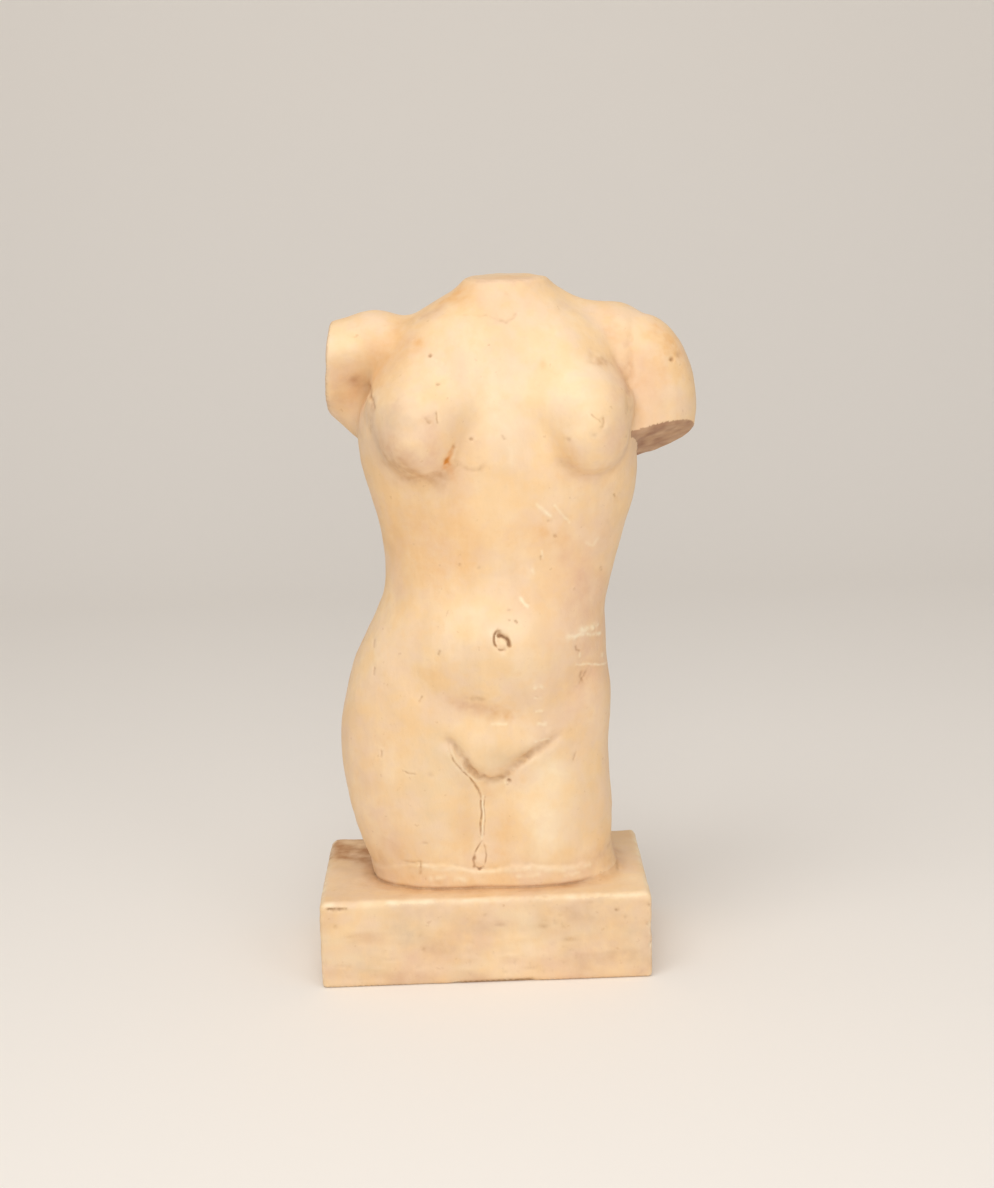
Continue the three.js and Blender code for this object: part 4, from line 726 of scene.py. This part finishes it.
def goal(P):
    """Wanted length of a triangle's edge, by place."""
    x, y, z = P.T
    g = np.where(y < 4, 2.0, 3.4)
    g = np.where((y > -8) & (y < 4) & (z > 60), 2.6, g)
    g = np.where((z < PLINTH_H - 3) & (y > -58), 3.4, g)
    g = np.where((z < PLINTH_H + 2) & (y < -40), 1.75, g)
    g = np.where(z < 0.6, 7.0, g)
    inset = np.maximum(np.abs(x) - PLINTH_W / 2, np.abs(y) - PLINTH_D / 2)
    rim = np.minimum(np.hypot(inset, z - PLINTH_H), np.hypot(np.abs(x) - PLINTH_W / 2, np.abs(y) - PLINTH_D / 2))
    g = np.minimum(g, np.where(y < -40, 0.95, 1.8) + 0.4 * np.clip(rim - 2.5, 0, None))
    foot = np.abs(z - PLINTH_H - 2.0)
    legs = np.abs(figure(x, y, np.full_like(z, PLINTH_H + 3)) - 1.5)
    g = np.minimum(g, np.where(y < 0, 0.95, 2.0) + 0.36 * np.clip(np.maximum(foot, legs) - 4.5, 0, None))
    fr = y < -10
    for pts, w, deep, darkening in LINES:
        p = np.asarray(pts)
        r = 3 * w + 6
        m = fr & (x > p[:, 0].min() - r) & (x < p[:, 0].max() + r) & (z > p[:, 1].min() - r) & (z < p[:, 1].max() + r)
        if m.any():
            d, _t = near_line(x[m], z[m], pts)
            g[m] = np.minimum(g[m], max(0.42, 0.60 * w) + 0.34 * np.clip(d - 1.5 * w, 0, None))
    for pts, w, hi in STREAKS:
        p = np.asarray(pts)
        m = fr & (x > p[:, 0].min() - 4) & (x < p[:, 0].max() + 4) & (z > p[:, 1].min() - 4) & (z < p[:, 1].max() + 4)
        if m.any():
            d, _t = near_line(x[m], z[m], pts)
            g[m] = np.minimum(g[m], max(0.6, 0.65 * w) + 0.38 * np.clip(d - 1.4 * w, 0, None))
    for cx, cz, rx, rz, hi, darkening in DOTS:
        m = fr & (np.abs(x - cx) < 8) & (np.abs(z - cz) < 8)
        if m.any():
            d = np.clip(np.hypot(x[m] - cx, z[m] - cz) - 1.3 * max(rx, rz), 0, None)
            g[m] = np.minimum(g[m], max(0.42, 0.5 * min(rx, rz)) + 0.36 * d)
    d = np.clip(np.hypot(x - 15.7, z - 223) - 6.5, 0, None)
    g = np.where(fr, np.minimum(g, 0.45 + 0.3 * d), g)
    rim = np.abs(plane(x, y, z, ARM_AT, ARM_N))
    g = np.where((x > 96) & (z > 300) & (z < 368), np.minimum(g, 1.0 + 0.3 * np.clip(rim - 2, 0, None)), g)
    g = np.minimum(g, 1.1 + 0.3 * np.clip(np.abs(z - NECK_Z + 0.6) - 1.5, 0, None) + 0.05 * np.clip(y, 0, None))
    return g


def build():
    for attempt in range(8):
        lo = (-110.0 - 0.17 * attempt, -68.0 - 0.41 * attempt, -6.0)
        V, T = surface(3.6, lo, (150, 76, 448))
        if (edges(T, len(V))[3] == 2).all():
            break
    V = settle(V, 2)
    V = settle(relax(V, T, 2), 1)
    for r in range(7):
        V, T, n0 = refine(V, T, goal)
        if len(V) == n0:
            break
        V[n0:] = settle(V[n0:], 1)
        if r in (1, 3):
            V = settle(relax(V, T, 1), 1, 0.4)
    V = settle(relax(V, T, 2), 1, 0.5)
    return V, T


V, T = build()
N = slope(whole, V)
N /= np.linalg.norm(N, axis=1)[:, None] + 1e-9
height, masks = dressed(V, N)
flat = V[:, 2] < 0.35
height[flat] = 0
V = V + N * height[:, None]
V[:, 2] = np.maximum(V[:, 2], 0.0)
lo, hi = [np.array(b, float) * 1000 for b in CAD_BOX]
V = np.clip(V, lo, hi)
# how hollow or proud each point is against its neighbours: dirt and painted shade in the hollows, wear and a painted
# highlight on proud points
a, b, _i, _c = edges(T, len(V))
deg = np.bincount(a, minlength=len(V)) + np.bincount(b, minlength=len(V))
Nv = normals(V, T)
hollow_dirt_and_shade = np.zeros(len(V))
span = np.linalg.norm(V[a] - V[b], axis=1)
w = ((V[b] - V[a]) * Nv[a]).sum(1) / span**2
w2 = ((V[a] - V[b]) * Nv[b]).sum(1) / span**2
hollow_dirt_and_shade = (np.bincount(a, w, len(V)) + np.bincount(b, w2, len(V))) / deg
for _ in range(3):
    hollow_dirt_and_shade = 0.4 * hollow_dirt_and_shade + 0.6 * (np.bincount(a, hollow_dirt_and_shade[b], len(V)) + np.bincount(b, hollow_dirt_and_shade[a], len(V))) / deg
masks["hollow_dirt_and_shade"] = np.clip(hollow_dirt_and_shade * 4.0, 0, 1)
masks["wear_and_highlight_on_ridges"] = np.clip(-hollow_dirt_and_shade * 4.0 - 0.15, 0, 1)
print("surface:", len(V), "points", len(T), "triangles")

me = bpy.data.meshes.new(PIECE)
me.vertices.add(len(V))
me.vertices.foreach_set("co", (V / 1000).astype(np.float32).ravel())
me.loops.add(len(T) * 3)
me.loops.foreach_set("vertex_index", T.astype(np.int32).ravel())
me.polygons.add(len(T))
me.polygons.foreach_set("loop_start", np.arange(0, len(T) * 3, 3, dtype=np.int32))
me.polygons.foreach_set("use_smooth", np.ones(len(T), bool))
me.update(calc_edges=True)
for name, v in masks.items():
    me.attributes.new(name, "FLOAT", "POINT").data.foreach_set("value", np.clip(v, 0, 1.5).astype(np.float32))
piece = bpy.data.objects.new(PIECE, me)
bpy.context.scene.collection.objects.link(piece)


# =====================================================================
# The coat: cream paint on plaster, with its stains, dirt and wear, and painted shade and highlights
# =====================================================================
def srgb(r, g, b):
    c = [((v / 255 + 0.055) / 1.055) ** 2.4 if v > 10.3 else v / 255 / 12.92 for v in (r, g, b)]
    return (*c, 1.0)


mat = bpy.data.materials.new("painted_plaster_coat")
mat.use_nodes = True
nt = mat.node_tree
bsdf = nt.nodes["Principled BSDF"]
NEW, LINK = nt.nodes.new, nt.links.new
coord = NEW("ShaderNodeTexCoord").outputs["Object"]


def attr(name):
    n = NEW("ShaderNodeAttribute")
    n.attribute_name = name
    return n.outputs["Fac"]


def tex(scale, detail=3.0, rough=0.55, stretch=None, offset=0.0):
    n = NEW("ShaderNodeTexNoise")
    n.inputs["Scale"].default_value = scale
    n.inputs["Detail"].default_value = detail
    n.inputs["Roughness"].default_value = rough
    src = coord
    if stretch or offset:
        m = NEW("ShaderNodeMapping")
        m.inputs["Scale"].default_value = stretch or (1, 1, 1)
        m.inputs["Location"].default_value = (offset, offset * 0.7, -offset)
        LINK(coord, m.inputs["Vector"])
        src = m.outputs["Vector"]
    LINK(src, n.inputs["Vector"])
    return n.outputs["Fac"]


def maths(op, a, b=None, c=None, clamp=False):
    n = NEW("ShaderNodeMath")
    n.operation = op
    n.use_clamp = clamp
    for i, v in enumerate((a, b, c)):
        if v is None:
            continue
        if isinstance(v, (int, float)):
            n.inputs[i].default_value = v
        else:
            LINK(v, n.inputs[i])
    return n.outputs[0]


def span_map(v, a, b, c=0.0, d=1.0):
    n = NEW("ShaderNodeMapRange")
    n.interpolation_type = "SMOOTHSTEP"
    for k, q in (("From Min", a), ("From Max", b), ("To Min", c), ("To Max", d)):
        n.inputs[k].default_value = q
    LINK(v, n.inputs["Value"])
    return n.outputs["Result"]


def mixed(fac, a, b, kind="MIX"):
    n = NEW("ShaderNodeMix")
    n.data_type = "RGBA"
    n.blend_type = kind
    if isinstance(fac, (int, float)):
        n.inputs[0].default_value = fac
    else:
        LINK(fac, n.inputs[0])
    for i, v in ((6, a), (7, b)):
        if isinstance(v, tuple):
            n.inputs[i].default_value = v
        else:
            LINK(v, n.inputs[i])
    return n.outputs[2]


big, mid, small = tex(26, 3, 0.5), tex(85, 4, 0.55, offset=3.0), tex(330, 3, 0.6, offset=7.0)
stroke = tex(75, 3, 0.6, (1.0, 1.0, 0.28), 5.0)
patchy, blotch = tex(44, 2, 0.5, offset=17.0), tex(130, 2, 0.5, offset=23.0)
col = mixed(span_map(big, 0.35, 0.66), srgb(238, 204, 160), srgb(244, 214, 173))
col = mixed(span_map(stroke, 0.42, 0.70, 0.0, 0.40), col, srgb(228, 195, 152))
col = mixed(span_map(patchy, 0.46, 0.66, 0.0, 0.42), col, srgb(243, 203, 148))
col = mixed(span_map(patchy, 0.54, 0.36, 0.0, 0.34), col, srgb(236, 204, 176))
col = mixed(span_map(blotch, 0.50, 0.70, 0.0, 0.34), col, srgb(241, 201, 146))
col = mixed(span_map(blotch, 0.50, 0.32, 0.0, 0.28), col, srgb(235, 205, 178))
col = mixed(span_map(small, 0.52, 0.74, 0.0, 0.16), col, srgb(220, 186, 143))


def tint(col, name, colour, gain, lo=0.25, hi=1.0, src=None):
    """A tint (a stain, painted shade, a painted highlight): its mask, broken up by the finer noise."""
    f = maths("MULTIPLY_ADD", src or mid, 1.3, -0.15)
    f = maths("MULTIPLY", attr(name), f)
    f = maths("MULTIPLY", f, gain, clamp=True)
    return mixed(f, col, colour)


# pale patches, and painted highlights on the sternum, the belly, the thighs and the stub's top
col = tint(col, "pale_and_highlight", srgb(253, 234, 198), 0.95)
# grey and rose: tints of the coat, and painted shade on the breasts' outer sides, the stub's underside, the arm fold
# and the figure's left waist
col = tint(col, "grey_and_shade", srgb(208, 186, 154), 0.95)
col = tint(col, "rose_and_shade", srgb(221, 177, 147), 0.95)
col = tint(col, "ochre", srgb(228, 172, 106), 0.85)
# brown dirt, and painted shade under the breasts, in the armpit fold, along the arm crease, under the collar and in the
# groins
col = tint(col, "brown_dirt_and_shade", srgb(186, 134, 84), 1.0)
col = tint(col, "orange", srgb(222, 142, 52), 1.0)
# specks and small stains everywhere
speck = span_map(tex(210, 2, 0.5, offset=11.0), 0.69, 0.79, 0.0, 0.32)
col = mixed(speck, col, srgb(200, 156, 112))
# dirt and painted shade in the hollows; wear and a painted highlight on proud points
col = mixed(maths("MULTIPLY", attr("hollow_dirt_and_shade"), 0.45, clamp=True), col, srgb(158, 112, 72))
col = mixed(maths("MULTIPLY", attr("wear_and_highlight_on_ridges"), 0.40, clamp=True), col, srgb(250, 232, 196))
# pale streaks and chips, and the plinth's top rim in wear and painted highlight
chalk_and_highlight = maths("MULTIPLY", attr("chalk_and_highlight"), maths("MULTIPLY_ADD", mid, 1.1, 0.25), clamp=True)
col = mixed(chalk_and_highlight, col, srgb(252, 238, 206))
# broken plaster on the cut faces, darkened most on the arm's downward cut as painted shade
cut_face_and_shade = maths("MULTIPLY", attr("cut"), maths("MULTIPLY_ADD", mid, 0.8, 0.5), clamp=True)
col = mixed(cut_face_and_shade, col, srgb(158, 116, 90))
# dirt in marks, pits and cracks, and painted shade in the creases, the navel, the groins and under the band
dirt_and_crease_shade = maths("POWER", attr("dirt_and_crease_shade"), 1.35)
dirt_and_crease_shade = maths("MULTIPLY", dirt_and_crease_shade, maths("MULTIPLY_ADD", mid, 0.45, 0.38), clamp=True)
col = mixed(dirt_and_crease_shade, col, srgb(140, 94, 52))
LINK(col, bsdf.inputs["Base Color"])
rough = maths("MULTIPLY_ADD", mid, 0.22, 0.46)
rough = maths("MULTIPLY_ADD", dirt_and_crease_shade, 0.22, rough)
rough = maths("MULTIPLY_ADD", cut_face_and_shade, 0.2, rough, clamp=True)
LINK(rough, bsdf.inputs["Roughness"])
bsdf.inputs["Specular IOR Level"].default_value = 0.42
fine = maths("MULTIPLY_ADD", tex(900, 3, 0.55, offset=2.0), 0.22, maths("MULTIPLY", tex(240, 3, 0.55, (1, 1, 0.5), 4.0), 1.0))
bump = NEW("ShaderNodeBump")
bump.inputs["Strength"].default_value = 0.45
bump.inputs["Distance"].default_value = 0.00045
LINK(fine, bump.inputs["Height"])
LINK(bump.outputs["Normal"], bsdf.inputs["Normal"])
me.materials.append(mat)
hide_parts(NODE)
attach(piece, "root")

# =====================================================================
# Floor, light and camera
# =====================================================================
fm = bpy.data.meshes.new("floor")
prof = [(-1.6, 0.0), (1.1, 0.0)] + [(1.1 + 0.7 * math.sin(t), 0.7 - 0.7 * math.cos(t)) for t in np.linspace(0.08, math.pi / 2, 18)] + [(1.8, 2.4)]
vs = [(sx * 2.6, yy, zz) for yy, zz in prof for sx in (-1, 1)]
fm.from_pydata(vs, [], [(2 * i, 2 * i + 1, 2 * i + 3, 2 * i + 2) for i in range(len(prof) - 1)])
for p in fm.polygons:
    p.use_smooth = True
floor = bpy.data.objects.new("floor", fm)
bpy.context.scene.collection.objects.link(floor)
fmat = bpy.data.materials.new("floor_plain")
fmat.use_nodes = True
fb = fmat.node_tree.nodes["Principled BSDF"]
fb.inputs["Base Color"].default_value = srgb(243, 238, 231)
fb.inputs["Roughness"].default_value = 0.9
fb.inputs["Specular IOR Level"].default_value = 0.2
fm.materials.append(fmat)


def area(name, at, size, watts, aim=(0.01, 0, 0.25), colour=(1, 1, 1)):
    l = bpy.data.lights.new(name, "AREA")
    l.shape, l.size, l.energy, l.color = "DISK", size, watts, colour
    o = bpy.data.objects.new(name, l)
    bpy.context.scene.collection.objects.link(o)
    o.location = at
    o.rotation_euler = (Vector(aim) - Vector(at)).to_track_quat("-Z", "Y").to_euler()
    return o


def around(az, el, far=1.7):
    az, el = math.radians(az), math.radians(el)
    return (0.01 + far * math.sin(az) * math.cos(el), -far * math.cos(az) * math.cos(el), 0.25 + far * math.sin(el))


area("front", around(0, 15), 0.9, 7.8, colour=(1.0, 0.98, 0.95))
area("key", around(-40, 55), 0.9, 5.6, colour=(1.0, 0.98, 0.95))
area("top", around(0, 75), 0.9, 6.2)
area("right", around(40, 20), 0.9, 2.5)
world = bpy.data.worlds.new("studio")
bpy.context.scene.world = world
world.use_nodes = True
world.node_tree.nodes["Background"].inputs[0].default_value = (1.0, 0.97, 0.95, 1)
world.node_tree.nodes["Background"].inputs[1].default_value = 0.5

YAW, TILT, ROLL, FOCAL = 8.22638785e-03, 0.215022997, -3.09447811e-02, 1800.0
AT = Vector((4.73138347e-03, -1.12623999, 0.485768738))
cy, sy, ct, st = math.cos(YAW), math.sin(YAW), math.cos(TILT), math.sin(TILT)
fwd = Vector((sy * ct, cy * ct, -st))
right = Vector((cy, -sy, 0.0))
up = right.cross(fwd)
cr, sr = math.cos(ROLL), math.sin(ROLL)
r, u = right * cr + up * sr, -right * sr + up * cr
cam = bpy.data.objects.new("camera", bpy.data.cameras.new("camera"))
bpy.context.scene.collection.objects.link(cam)
cam.matrix_world = Matrix(((r.x, u.x, -fwd.x, AT.x), (r.y, u.y, -fwd.y, AT.y), (r.z, u.z, -fwd.z, AT.z), (0, 0, 0, 1)))
cam.data.sensor_width = 36.0
cam.data.lens = FOCAL / 1188 * 36.0
cam.data.clip_start = 0.01
bpy.context.scene.camera = cam
bpy.context.scene.view_settings.view_transform = "Standard"
